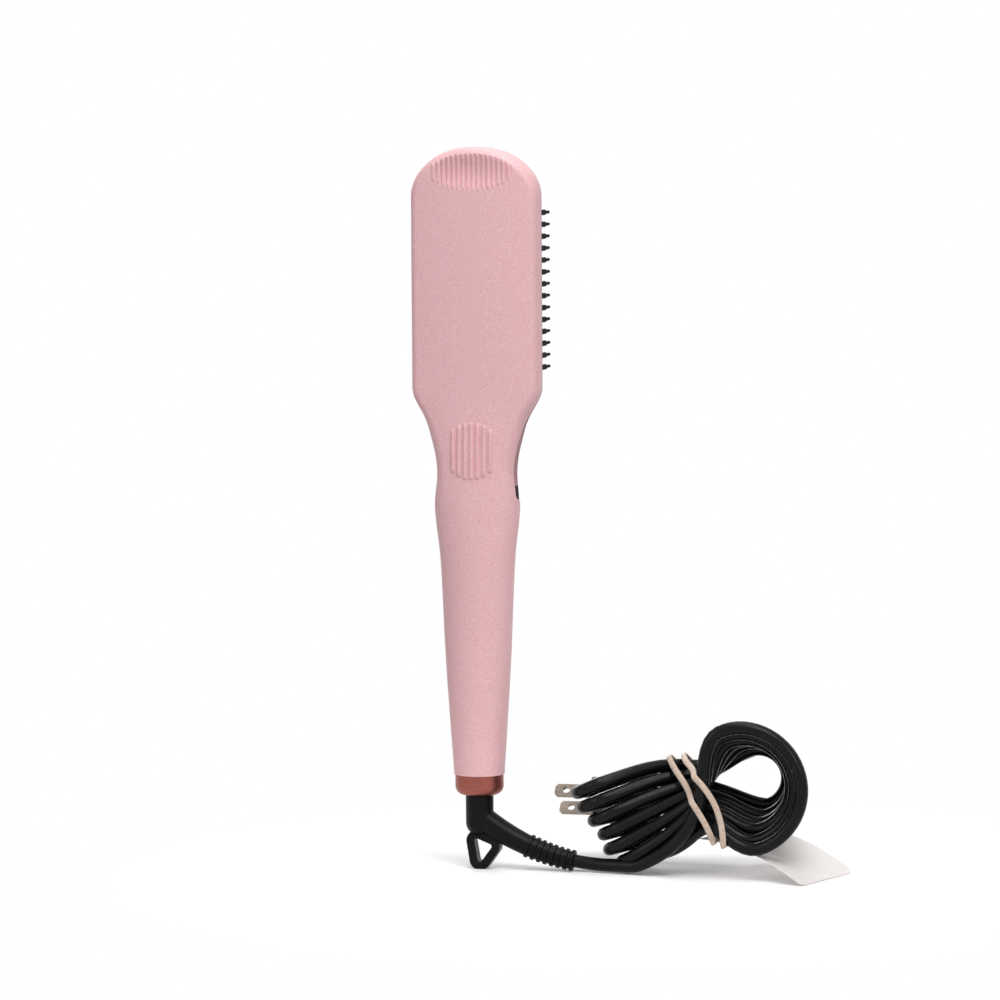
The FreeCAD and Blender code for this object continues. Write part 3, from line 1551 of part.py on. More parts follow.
# Checking and writing
def check_document():
    """Stop if any object failed to build."""
    for item in DOC.Objects:
        if "Invalid" in item.State or "Error" in item.State:
            raise RuntimeError("%s failed: %s" % (item.Label, item.State))
    for item in NODES:
        if item.Shape.isNull() or not item.Shape.isValid():
            raise RuntimeError("%s has no valid shape" % item.Label)


def write_parts():
    """Write each sub-part to its own file."""
    os.makedirs("parts", exist_ok=True)
    for item in NODES:
        shape = item.Shape
        limits = shape.BoundBox
        print("%-20s solids %3d volume %9.1f  x %.1f %.1f  y %.1f %.1f  z %.1f %.1f" % (
            item.Label, len(shape.Solids), shape.Volume, limits.XMin, limits.XMax,
            limits.YMin, limits.YMax, limits.ZMin, limits.ZMax))
        shape.exportStep("parts/%s.step" % item.Label)


def main():
    """Build every sub-part, check the document and write the parts."""
    fill_sheet()
    inner, front_outer = make_casing()
    make_plate()
    make_bristles()
    make_heater_stack()
    make_casing_screws()
    make_boards()
    make_panel_pieces(inner, front_outer)
    make_swivel()
    make_wires()
    make_boot()
    obstacles = make_cord()
    make_plug()
    make_tag(obstacles)
    DOC.recompute()
    check_document()
    write_parts()


main()
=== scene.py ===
"""Hair straightening brush with a swivel cord: looks, light and camera.

Metres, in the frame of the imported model: +X runs across the head, +Y points
along the bristles and +Z is up.
"""
from __future__ import annotations

import logging
import math
from dataclasses import dataclass, field
from enum import Enum
from typing import Any

import bmesh
import bpy
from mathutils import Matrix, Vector
from mathutils.bvhtree import BVHTree
from mathutils.geometry import convex_hull_2d

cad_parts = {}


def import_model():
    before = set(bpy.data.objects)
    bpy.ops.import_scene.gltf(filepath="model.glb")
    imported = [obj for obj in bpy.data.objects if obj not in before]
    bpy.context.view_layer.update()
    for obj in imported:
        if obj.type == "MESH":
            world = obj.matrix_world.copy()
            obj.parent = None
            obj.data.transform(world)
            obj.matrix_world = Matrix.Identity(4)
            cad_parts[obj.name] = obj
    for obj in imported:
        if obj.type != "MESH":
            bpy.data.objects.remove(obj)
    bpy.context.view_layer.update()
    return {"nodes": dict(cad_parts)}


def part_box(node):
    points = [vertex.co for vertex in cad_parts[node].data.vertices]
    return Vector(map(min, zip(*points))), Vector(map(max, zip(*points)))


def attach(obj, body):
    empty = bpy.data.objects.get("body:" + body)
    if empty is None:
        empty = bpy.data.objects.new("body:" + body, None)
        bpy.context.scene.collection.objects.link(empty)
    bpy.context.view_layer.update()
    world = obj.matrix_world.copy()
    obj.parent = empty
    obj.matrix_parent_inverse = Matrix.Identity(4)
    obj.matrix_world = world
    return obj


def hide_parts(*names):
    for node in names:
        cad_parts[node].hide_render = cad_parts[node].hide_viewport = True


MM = 0.001
WHITE = (1.0, 1.0, 1.0, 1.0)
BLACK = (0.0, 0.0, 0.0, 1.0)
# The direction into the picture, along the bristles.
DEPTH = Vector((0.0, 1.0, 0.0)).freeze()
LOG = logging.getLogger("brush")


# Helpers for colour, nodes, curves and meshes
def linear(code: str) -> tuple[float, float, float, float]:
    """Turn an sRGB hex colour into linear values.

    Args:
        code: six hex digits after a hash sign.

    Returns:
        Red, green, blue and a full alpha.
    """
    channels = [int(code[start:start + 2], 16) / 255 for start in (1, 3, 5)]
    red, green, blue = [value / 12.92 if value <= 0.04045 else ((value + 0.055) / 1.055) ** 2.4
                        for value in channels]
    return red, green, blue, 1.0


def add_node(tree: bpy.types.NodeTree, kind: str, feeds: dict[Any, Any] | None = None,
             **settings: Any) -> bpy.types.Node:
    """Add a node with its settings and links.

    Args:
        tree: the node tree that it joins.
        kind: Blender's name for the type of node.
        feeds: input sockets by name or number, each with a value or the output socket that feeds it.
        settings: the node's own properties.

    Returns:
        The new node.
    """
    made = tree.nodes.new(kind)
    for name, value in settings.items():
        setattr(made, name, value)
    for name, value in (feeds or {}).items():
        if isinstance(value, bpy.types.NodeSocket):
            tree.links.new(value, made.inputs[name])
        else:
            made.inputs[name].default_value = value
    return made


def smooth_step(value: float) -> float:
    """Return 0 below 0, 1 above 1 and a smooth rise between them."""
    part = min(max(value, 0.0), 1.0)
    return part * part * (3 - 2 * part)


def bridge(shape: bmesh.types.BMesh, rings: list[list[bmesh.types.BMVert]], capped: bool = False) -> None:
    """Join each ring of vertices to the next with faces.

    Args:
        shape: the mesh.
        rings: closed rings with the same number of vertices.
        capped: whether the first and the last ring are closed by a face.
    """
    for before, after in zip(rings, rings[1:]):
        for side in range(-1, len(before) - 1):
            shape.faces.new((before[side], before[side + 1], after[side + 1], after[side]))
    if capped:
        shape.faces.new(rings[0])
        shape.faces.new(rings[-1][::-1])


def mesh_piece(name: str, shape: bmesh.types.BMesh, smooth_deg: float = 40.0) -> bpy.types.Object:
    """Turn a bmesh into an object in the scene, shaded smooth but for its sharp edges.

    Args:
        name: the piece's name.
        shape: the geometry, which is freed here.
        smooth_deg: edges that turn by more than this stay sharp.

    Returns:
        The new object.
    """
    bmesh.ops.recalc_face_normals(shape, faces=shape.faces)
    mesh = bpy.data.meshes.new(name)
    shape.to_mesh(mesh)
    shape.free()
    for polygon in mesh.polygons:
        polygon.use_smooth = True
    mesh.set_sharp_from_angle(angle=math.radians(smooth_deg))
    piece = bpy.data.objects.new(name, mesh)
    bpy.context.scene.collection.objects.link(piece)
    return piece


# Finishes
class Pattern(Enum):
    """How the texture of a finish runs over the surface."""

    SPECKLE = "fine grains of even size"
    CLOUD = "soft patches"
    ROUND_LINES = "lines round the swivel axis"
    LONG_LINES = "lines along X"
    FIBRES = "short tangled fibres"
    TRACKS = "copper tracks on a board"


# How far the patterns with a direction are stretched along X, Y and Z before their noise is read.
STRETCH = {
    Pattern.ROUND_LINES: (0.03, 0.03, 1.0),
    Pattern.LONG_LINES: (0.04, 1.0, 1.0),
    Pattern.FIBRES: (0.35, 1.0, 0.6),
}
EVEN = (1.0, 1.0, 1.0)
# Octaves of the noise in soft patches, in the other patterns and in the wear.
CLOUD_DETAIL = 1.0
GRAIN_DETAIL = 3.0
WEAR_DETAIL = 2.0
# Weight of the finer octaves.
FINE_SHARE = 0.55
# The stretch that most values of a noise lie in, for the pattern and for the wear.
GRAIN_RANGE = (0.35, 0.65)
WEAR_RANGE = (0.3, 0.7)
# Gap between two tracks as a share of the pattern's size, and how strongly every second one shows.
TRACK_GAP = 0.12
SECOND_TRACK = (0.7, 0.7, 0.7, 1.0)
# Roughness of every clear coat.
COAT_ROUGHNESS = 0.08


@dataclass(frozen=True)
class Finish:
    """One real material and how its surface was made.

    Attributes:
        name: the material's common name.
        colour: its main colour.
        second: the colour of its grains, lines or fibres.
        roughness: from mirror to chalk.
        grain_mm: size of the pattern.
        pattern: how the pattern runs.
        blend: how much of the second colour shows.
        bump_mm: height of the pattern.
        wear: how much the roughness varies in broad patches.
        wear_mm: size of those patches.
        metallic: whether it is a metal.
        ior: index of refraction, for what isn't a metal.
        coat: share of a clear gloss coat.
        clear: share of light that passes through.
    """

    name: str
    colour: str
    second: str
    roughness: float
    grain_mm: float
    pattern: Pattern = Pattern.SPECKLE
    blend: float = 0.5
    bump_mm: float = 0.01
    wear: float = 0.06
    wear_mm: float = 14.0
    metallic: float = 0.0
    ior: float = 1.5
    coat: float = 0.0
    clear: float = 0.0

    def texture(self, tree: bpy.types.NodeTree, place: bpy.types.NodeSocket) -> bpy.types.NodeSocket:
        """Add the pattern's own texture.

        Args:
            tree: the material's nodes.
            place: coordinates in metres.

        Returns:
            A value from 0 to 1.
        """
        per_metre = 1 / (self.grain_mm * MM)
        if self.pattern is Pattern.TRACKS:
            tracks = add_node(tree, "ShaderNodeTexBrick", {
                "Vector": place, "Scale": per_metre, "Mortar Size": TRACK_GAP, "Color1": WHITE,
                "Color2": SECOND_TRACK, "Mortar": BLACK})
            return tracks.outputs["Color"]
        stretched = add_node(tree, "ShaderNodeMapping", {
            "Vector": place, "Scale": STRETCH.get(self.pattern, EVEN)})
        detail = CLOUD_DETAIL if self.pattern is Pattern.CLOUD else GRAIN_DETAIL
        noise = add_node(tree, "ShaderNodeTexNoise", {
            "Vector": stretched.outputs["Vector"], "Scale": per_metre, "Detail": detail,
            "Roughness": FINE_SHARE})
        return noise.outputs["Fac"]

    def build(self) -> bpy.types.Material:
        """Make the material.

        Returns:
            A material that works from coordinates in metres.
        """
        material = bpy.data.materials.new(self.name)
        material.use_nodes = True
        tree = material.node_tree
        shader = tree.nodes["Principled BSDF"]
        place = add_node(tree, "ShaderNodeTexCoord").outputs["Object"]
        value = self.texture(tree, place)
        share = add_node(tree, "ShaderNodeMapRange", {
            "Value": value, "From Min": GRAIN_RANGE[0], "From Max": GRAIN_RANGE[1],
            "To Min": 0.0, "To Max": self.blend})
        # A colour mix has its factor at socket 0, its colours at 6 and 7 and its result at 2.
        mixer = add_node(tree, "ShaderNodeMix", {
            0: share.outputs["Result"], 6: linear(self.colour), 7: linear(self.second)}, data_type="RGBA")
        tree.links.new(mixer.outputs[2], shader.inputs["Base Color"])
        patches = add_node(tree, "ShaderNodeTexNoise", {
            "Vector": place, "Scale": 1 / (self.wear_mm * MM), "Detail": WEAR_DETAIL})
        gloss = add_node(tree, "ShaderNodeMapRange", {
            "Value": patches.outputs["Fac"], "From Min": WEAR_RANGE[0], "From Max": WEAR_RANGE[1],
            "To Min": self.roughness - self.wear, "To Max": self.roughness + self.wear})
        tree.links.new(gloss.outputs["Result"], shader.inputs["Roughness"])
        if self.bump_mm > 0:
            bump = add_node(tree, "ShaderNodeBump", {
                "Height": value, "Distance": self.bump_mm * MM, "Strength": 1.0})
            tree.links.new(bump.outputs["Normal"], shader.inputs["Normal"])
        shader.inputs["Metallic"].default_value = self.metallic
        if not self.metallic:
            shader.inputs["IOR"].default_value = self.ior
        shader.inputs["Coat Weight"].default_value = self.coat
        shader.inputs["Coat Roughness"].default_value = COAT_ROUGHNESS
        shader.inputs["Transmission Weight"].default_value = self.clear
        return material


# ABS with a soft-touch paint: matte, with a fine sprayed grain that breaks the highlight.
# The grain is drawn about twice as coarse as it is, to show in the render.
PINK_PAINT = Finish("soft_touch_painted_abs", "#d9a3a8", "#eec7ca", 0.48, 0.5, blend=0.75, bump_mm=0.012)
# The same paint on the front half, made darker as painted shade: it stands for the shade on the side of the
# neck, which turns away from the lamps. Its grain is fainter.
PINK_PAINT_SHADED = Finish("soft_touch_painted_abs_shaded", "#a06d72", "#8e5e63", 0.50, 0.5, blend=0.55,
                    bump_mm=0.012)
# Moulded ABS of the panel: deep black with a low gloss and faint handling marks.
PANEL_ABS = Finish("satin_black_abs", "#080707", "#0f0e0e", 0.36, 9.0, Pattern.CLOUD, bump_mm=0.0,
                   wear=0.08, ior=1.06)
# Moulded ABS of the buttons: paler than the panel, with a fine satin grain.
BUTTON_ABS = Finish("satin_abs", "#1a1a1c", "#26262a", 0.36, 0.6, bump_mm=0.012)
# Screen-printed ink of the symbols: flat pale grey with the fine ripple of the screen.
PRINT_INK = Finish("screen_print_ink", "#d8d8d4", "#c4c4c0", 0.55, 0.4, bump_mm=0.004)
# Smoked acrylic: dark and glossy, and the display shows faintly through it.
SMOKED_ACRYLIC = Finish("smoked_acrylic", "#101114", "#17181c", 0.06, 6.0, Pattern.CLOUD, bump_mm=0.0,
                        wear=0.03, ior=1.33, coat=0.1, clear=0.2)
# Aluminium with a sprayed ceramic coat: dark, with pale mineral specks.
CERAMIC_COAT = Finish("ceramic_coated_aluminium", "#2a2627", "#4c4344", 0.48, 0.45, blend=0.4, bump_mm=0.02,
                      ior=1.3)
# The same coat on the pins, darker for its thinner layer.
PIN_COAT = Finish("ceramic_coated_pin", "#0f0d0d", "#241f1f", 0.45, 0.45, blend=0.4, bump_mm=0.015, ior=1.16)
# Moulded nylon: satin black with a fine even grain.
NYLON = Finish("black_nylon", "#080707", "#121111", 0.50, 0.5, bump_mm=0.008, ior=1.07)
# Spun aluminium with a rose-gold anodised coat: fine lines run round it.
ROSE_GOLD = Finish("rose_gold_anodised_aluminium", "#9a5b52", "#80483f", 0.36, 0.25, Pattern.ROUND_LINES,
                   blend=0.6, bump_mm=0.006, metallic=1.0)
# Moulded flexible PVC: black with a soft sheen, broken by a fine grain.
BOOT_PVC = Finish("moulded_pvc", "#0a0909", "#131212", 0.34, 0.7, blend=0.6, bump_mm=0.02, ior=1.2)
# Extruded PVC jacket: black, with scuffs that dull it in patches.
CORD_PVC = Finish("extruded_pvc", "#090808", "#131212", 0.27, 1.2, blend=0.6, bump_mm=0.02, wear=0.08,
                  wear_mm=6.0, ior=1.24)
# Natural rubber: pale tan, dry and slightly powdered.
BAND_RUBBER = Finish("natural_rubber", "#cdb9a9", "#b49c8a", 0.66, 0.8, Pattern.FIBRES, blend=0.8,
                     bump_mm=0.03)
# Rolled brass with a nickel plate: a warm grey metal with fine rolling lines along it.
NICKEL_PLATE = Finish("nickel_plated_brass", "#a2968b", "#7d7268", 0.28, 0.3, Pattern.LONG_LINES, blend=0.6,
                      bump_mm=0.005, metallic=1.0)
# Coated paper: off-white with faint fibres.
TAG_PAPER = Finish("coated_paper", "#e6e1df", "#d8d2d0", 0.58, 0.7, Pattern.FIBRES, blend=0.6, bump_mm=0.01)
# Rolled aluminium: pale, with lines that draw the highlight out.
ALUMINIUM = Finish("mill_aluminium", "#c9cacc", "#aeb0b3", 0.35, 0.4, Pattern.LONG_LINES, bump_mm=0.006,
                   metallic=1.0)
# Pressed mica sheet: tan with darker flakes.
MICA = Finish("pressed_mica", "#b09a72", "#8d7850", 0.5, 1.5, bump_mm=0.02)
# Zinc-plated steel: a bright grey metal, clouded by the bath.
ZINC_STEEL = Finish("zinc_plated_steel", "#b4b6b8", "#95989b", 0.32, 0.6, Pattern.CLOUD, bump_mm=0.0,
                    metallic=1.0)
# Fused glass of the sensor's bead: glossy amber that lets some light through.
BEAD_GLASS = Finish("bead_glass", "#a05a22", "#8a4a18", 0.1, 2.0, Pattern.CLOUD, bump_mm=0.0, wear=0.04,
                    clear=0.4)
# Epoxy board with solder resist: green, and paler over its copper tracks.
EPOXY_BOARD = Finish("epoxy_circuit_board", "#0d4a26", "#1c6a3a", 0.4, 2.5, Pattern.TRACKS, bump_mm=0.03)
# Moulded phenolic of the components: dull black with a coarse grain.
PHENOLIC = Finish("moulded_phenolic", "#1a1b1e", "#2c2d31", 0.48, 0.8, bump_mm=0.02)
# Display glass: glossy and nearly black while it is off.
DISPLAY_GLASS = Finish("display_glass", "#0b0d10", "#12161b", 0.08, 5.0, Pattern.CLOUD, bump_mm=0.0,
                       wear=0.03, coat=0.3)
# Moulded acetal of the bearing: milky white with a soft sheen.
ACETAL = Finish("white_acetal", "#e2e0d8", "#d2d0c8", 0.42, 0.8, bump_mm=0.01)
# Rolled spring brass of the contacts: yellow, with fine lines round the swivel axis.
SPRING_BRASS = Finish("spring_brass", "#c79a4c", "#a97f38", 0.3, 0.4, Pattern.ROUND_LINES, bump_mm=0.005,
                      metallic=1.0)
# Braided glass sleeve of the inner wires: off-white and dull, rough with fibres.
GLASS_SLEEVE = Finish("braided_glass_sleeve", "#dcd8cc", "#b9b4a4", 0.7, 0.5, Pattern.FIBRES, blend=0.8,
                      bump_mm=0.05)


class Wardrobe:
    """The materials made so far, each one once."""

    def __init__(self, nodes: dict[str, bpy.types.Object]) -> None:
        """Keep the frame's nodes by name."""
        self.nodes = nodes
        self.made: dict[str, bpy.types.Material] = {}

    def material(self, finish: Finish) -> bpy.types.Material:
        """Return the material of a finish, made when first asked for.

        Args:
            finish: the finish.

        Returns:
            Its one material.
        """
        if finish.name not in self.made:
            self.made[finish.name] = finish.build()
        return self.made[finish.name]

    def dress(self, piece: bpy.types.Object, finish: Finish) -> None:
        """Give a drawn piece one finish all over.

        Args:
            piece: the piece.
            finish: its finish.
        """
        piece.data.materials.append(self.material(finish))
        LOG.info("%s: %s", piece.name, finish.name)

    def dress_nodes(self, finishes: dict[str, Finish]) -> None:
        """Give nodes of the frame their finishes.

        Args:
            finishes: each node's name and its finish.
        """
        for name, finish in finishes.items():
            for slot in self.nodes[name].material_slots:
                slot.material = self.material(finish)
            LOG.info("%s: %s", name, finish.name)


# Sub-assemblies
@dataclass
class Casing:
    """Painted casing halves, and the metal ring that closes the handle."""

    def dress(self, wardrobe: Wardrobe) -> None:
        """Give the casing its finishes."""
        wardrobe.dress_nodes({
            "rear_casing": PINK_PAINT,
            # The front halves take the darker pink, which is painted shade on the same paint.
            "front_casing": PINK_PAINT_SHADED,
            "handle_front_cover": PINK_PAINT_SHADED,
            "casing_screws": ZINC_STEEL,
            "end_ring": ROSE_GOLD,
        })


@dataclass(frozen=True)
class RibRow:
    """A row of upright grip ribs, in millimetres.

    Attributes:
        name: name of the drawn piece.
        count: how many ribs it has.
        pitch: their distance from one another.
        middle: height of their middles.
        half_length: half the length of a rib in the middle of the row.
        reach: the distance from the middle at which a rib would have no length left.
        half_width: half the width of a rib.
        rise: its height above the valleys.
        ends: the length over which its ends are rounded.
    """

    name: str
    count: int
    pitch: float
    middle: float
    half_length: float
    reach: float
    half_width: float
    rise: float
    ends: float


@dataclass
class GripRibs:
    """Round crowns on the square ribs of the rear casing, which catch the light along one side.

    Attributes:
        rows: the ribs at the neck and those in the scoop at the tip.
        stations: how many sections a rib has.
        facets: how many facets a section has.
        sink: how deep the edges of a crown lie in the casing, in millimetres.
        outside: how far outside the casing the search for its surface starts, in millimetres.
    """

    rows: tuple[RibRow, ...] = (
        RibRow("neck_rib_crowns", count=7, pitch=2.8, middle=185.7, half_length=12.75, reach=12.9,
               half_width=1.0, rise=0.95, ends=1.6),
        RibRow("scoop_rib_crowns", count=16, pitch=2.25, middle=307.6, half_length=8.2, reach=19.6,
               half_width=0.85, rise=0.8, ends=2.5),
    )
    stations: int = 32
    facets: int = 10
    sink: float = 0.05
    outside: float = 50.0

    def valley(self, skin: BVHTree, row: RibRow, across: float, height: float) -> float | None:
        """Return how deep in the picture the casing lies beside a rib.

        Args:
            skin: the surface of the casing.
            row: the row of the rib.
            across: place of the rib.
            height: height of the section.

        Returns:
            The mean of both sides in metres, or nothing beyond the casing.
        """
        depths = []
        for side in (-row.pitch / 2, row.pitch / 2):
            start = Vector((across + side, -self.outside, height)) * MM
            spot = skin.ray_cast(start, DEPTH)[0]
            if spot is None:
                return None
            depths.append(spot.y)
        return sum(depths) / len(depths)

    def rib(self, shape: bmesh.types.BMesh, skin: BVHTree, row: RibRow, across: float) -> None:
        """Add one rib to the drawn piece.

        Args:
            shape: the piece.
            skin: the surface of the casing.
            row: the row of the rib.
            across: place of the rib.
        """
        half = row.half_length * math.sqrt(1 - (across / row.reach) ** 2)
        rings = []
        for station in range(1, self.stations):
            along = -half * math.cos(math.pi * station / self.stations)
            past = max(0.0, abs(along) - half + row.ends) / row.ends
            share = math.sqrt(1 - past ** 2)
            height = row.middle + along
            base = self.valley(skin, row, across, height)
            if base is None:
                continue
            ring = []
            for facet in range(self.facets + 1):
                turn = math.pi * facet / self.facets
                aside = across + share * row.half_width * math.cos(turn)
                out = share * row.rise * math.sin(turn) - self.sink
                ring.append(shape.verts.new((aside * MM, base - out * MM, height * MM)))
            rings.append(ring)
        bridge(shape, rings, capped=True)

    def build(self, wardrobe: Wardrobe) -> None:
        """Draw the crowns on the casing, which carries them.

        Args:
            wardrobe: the materials and the frame's nodes.
        """
        casing = bmesh.new()
        casing.from_mesh(wardrobe.nodes["rear_casing"].data)
        skin = BVHTree.FromBMesh(casing)
        casing.free()
        for row in self.rows:
            shape = bmesh.new()
            for number in range(row.count):
                self.rib(shape, skin, row, (number - (row.count - 1) / 2) * row.pitch)
            crowns = mesh_piece(row.name, shape)
            wardrobe.dress(crowns, PINK_PAINT)
            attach(crowns, "brush")


@dataclass
class BrushHead:
    """Heated plate with its pins, their cool tips and the guard bristles."""

    def dress(self, wardrobe: Wardrobe) -> None:
        """Give the plate and the bristles their finishes."""
        wardrobe.dress_nodes({
            "heated_plate": CERAMIC_COAT,
            "heating_pins": PIN_COAT,
            "bristle_tips": NYLON,
            "edge_bristles": NYLON,
        })


@dataclass
class Controls:
    """Black panel with its display and three buttons, each with a printed symbol.

    Attributes:
        mark_mm: half the width of a symbol.
        stroke_mm: width of its strokes.
        ink_mm: thickness of the print, half of it above the button's face.
        ring_steps: how many steps the ring of the power symbol has.
        gap_deg: half the opening at the top of that ring.
        bar_rise: height of the bar in the opening, as a share of half the symbol's width.
        bar_half: half the length of that bar, as such a share.
        buttons: the nodes of the buttons.
    """

    mark_mm: float = 1.7
    stroke_mm: float = 0.55
    ink_mm: float = 0.06
    ring_steps: int = 28
    gap_deg: float = 32.0
    bar_rise: float = 0.7
    bar_half: float = 0.55
    buttons: tuple[str, ...] = ("power_button", "temp_down_button", "temp_up_button")

    def dress(self, wardrobe: Wardrobe) -> None:
        """Give panel, display and buttons their finishes."""
        wardrobe.dress_nodes({
            "control_panel": PANEL_ABS,
            "display_window": SMOKED_ACRYLIC,
            "display_module": DISPLAY_GLASS,
        })
        wardrobe.dress_nodes({name: BUTTON_ABS for name in self.buttons})

    def bar(self, shape: bmesh.types.BMesh, place: Vector, across: float, up: float) -> None:
        """Add a thin printed bar to a symbol.

        Args:
            shape: the symbol.
            place: middle of the bar on the button's face.
            across: half its width.
            up: half its height.
        """
        made = bmesh.ops.create_cube(shape, size=1.0)
        for vertex in made["verts"]:
            vertex.co = place + Vector((vertex.co.x * 2 * across, vertex.co.y * self.ink_mm * MM,
                                        vertex.co.z * 2 * up))

    def ring(self, shape: bmesh.types.BMesh, place: Vector) -> None:
        """Add the open ring of the power symbol.

        Args:
            shape: the symbol.
            place: middle of the ring on the button's face.
        """
        half = self.ink_mm * MM / 2
        inner, outer = (self.mark_mm - self.stroke_mm) * MM, self.mark_mm * MM
        gap = math.radians(self.gap_deg)
        rows = []
        for step in range(self.ring_steps + 1):
            turn = math.pi / 2 + gap + (2 * math.pi - 2 * gap) * step / self.ring_steps
            row = []
            for radius, depth in ((inner, -half), (outer, -half), (outer, half), (inner, half)):
                offset = Vector((radius * math.cos(turn), depth, radius * math.sin(turn)))
                row.append(shape.verts.new(place + offset))
            rows.append(row)
        bridge(shape, rows, capped=True)

    def build(self, wardrobe: Wardrobe) -> None:
        """Print a symbol on each button.

        Args:
            wardrobe: the materials.
        """
        reach, stroke = self.mark_mm * MM, self.stroke_mm * MM / 2
        for name in self.buttons:
            low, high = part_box(name)
            place = Vector(((low.x + high.x) / 2, high.y, (low.z + high.z) / 2))
            shape = bmesh.new()
            if name == "power_button":
                self.ring(shape, place)
                middle = place + Vector((0, 0, reach * self.bar_rise))
                self.bar(shape, middle, stroke, reach * self.bar_half)
            else:
                self.bar(shape, place, reach, stroke)
            if name == "temp_up_button":
                self.bar(shape, place, stroke, reach)
            mark = mesh_piece(name + "_symbol", shape)
            wardrobe.dress(mark, PRINT_INK)
            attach(mark, name + "_body")


@dataclass
class InnerWorks:
    """Heaters, boards, wires and the swivel's contacts inside the casing."""

    def dress(self, wardrobe: Wardrobe) -> None:
        """Give the inner pieces their finishes."""
        wardrobe.dress_nodes({
            "heater_elements": ALUMINIUM,
            "insulation_sheet": MICA,
            "heater_clamp": ZINC_STEEL,
            "clamp_screws": ZINC_STEEL,
            "thermistor": BEAD_GLASS,
            "thermal_fuse": ALUMINIUM,
            "control_board": EPOXY_BOARD,
            "power_board": EPOXY_BOARD,
            "tact_switches": PHENOLIC,
            "power_components": PHENOLIC,
            "board_connector": PHENOLIC,
            "heater_leads": GLASS_SLEEVE,
            "mains_leads": GLASS_SLEEVE,
            "sensor_lead": GLASS_SLEEVE,
            "swivel_bush": ACETAL,
            "slip_rings": SPRING_BRASS,
            "contact_springs": SPRING_BRASS,
            "retaining_clip": ZINC_STEEL,
        })


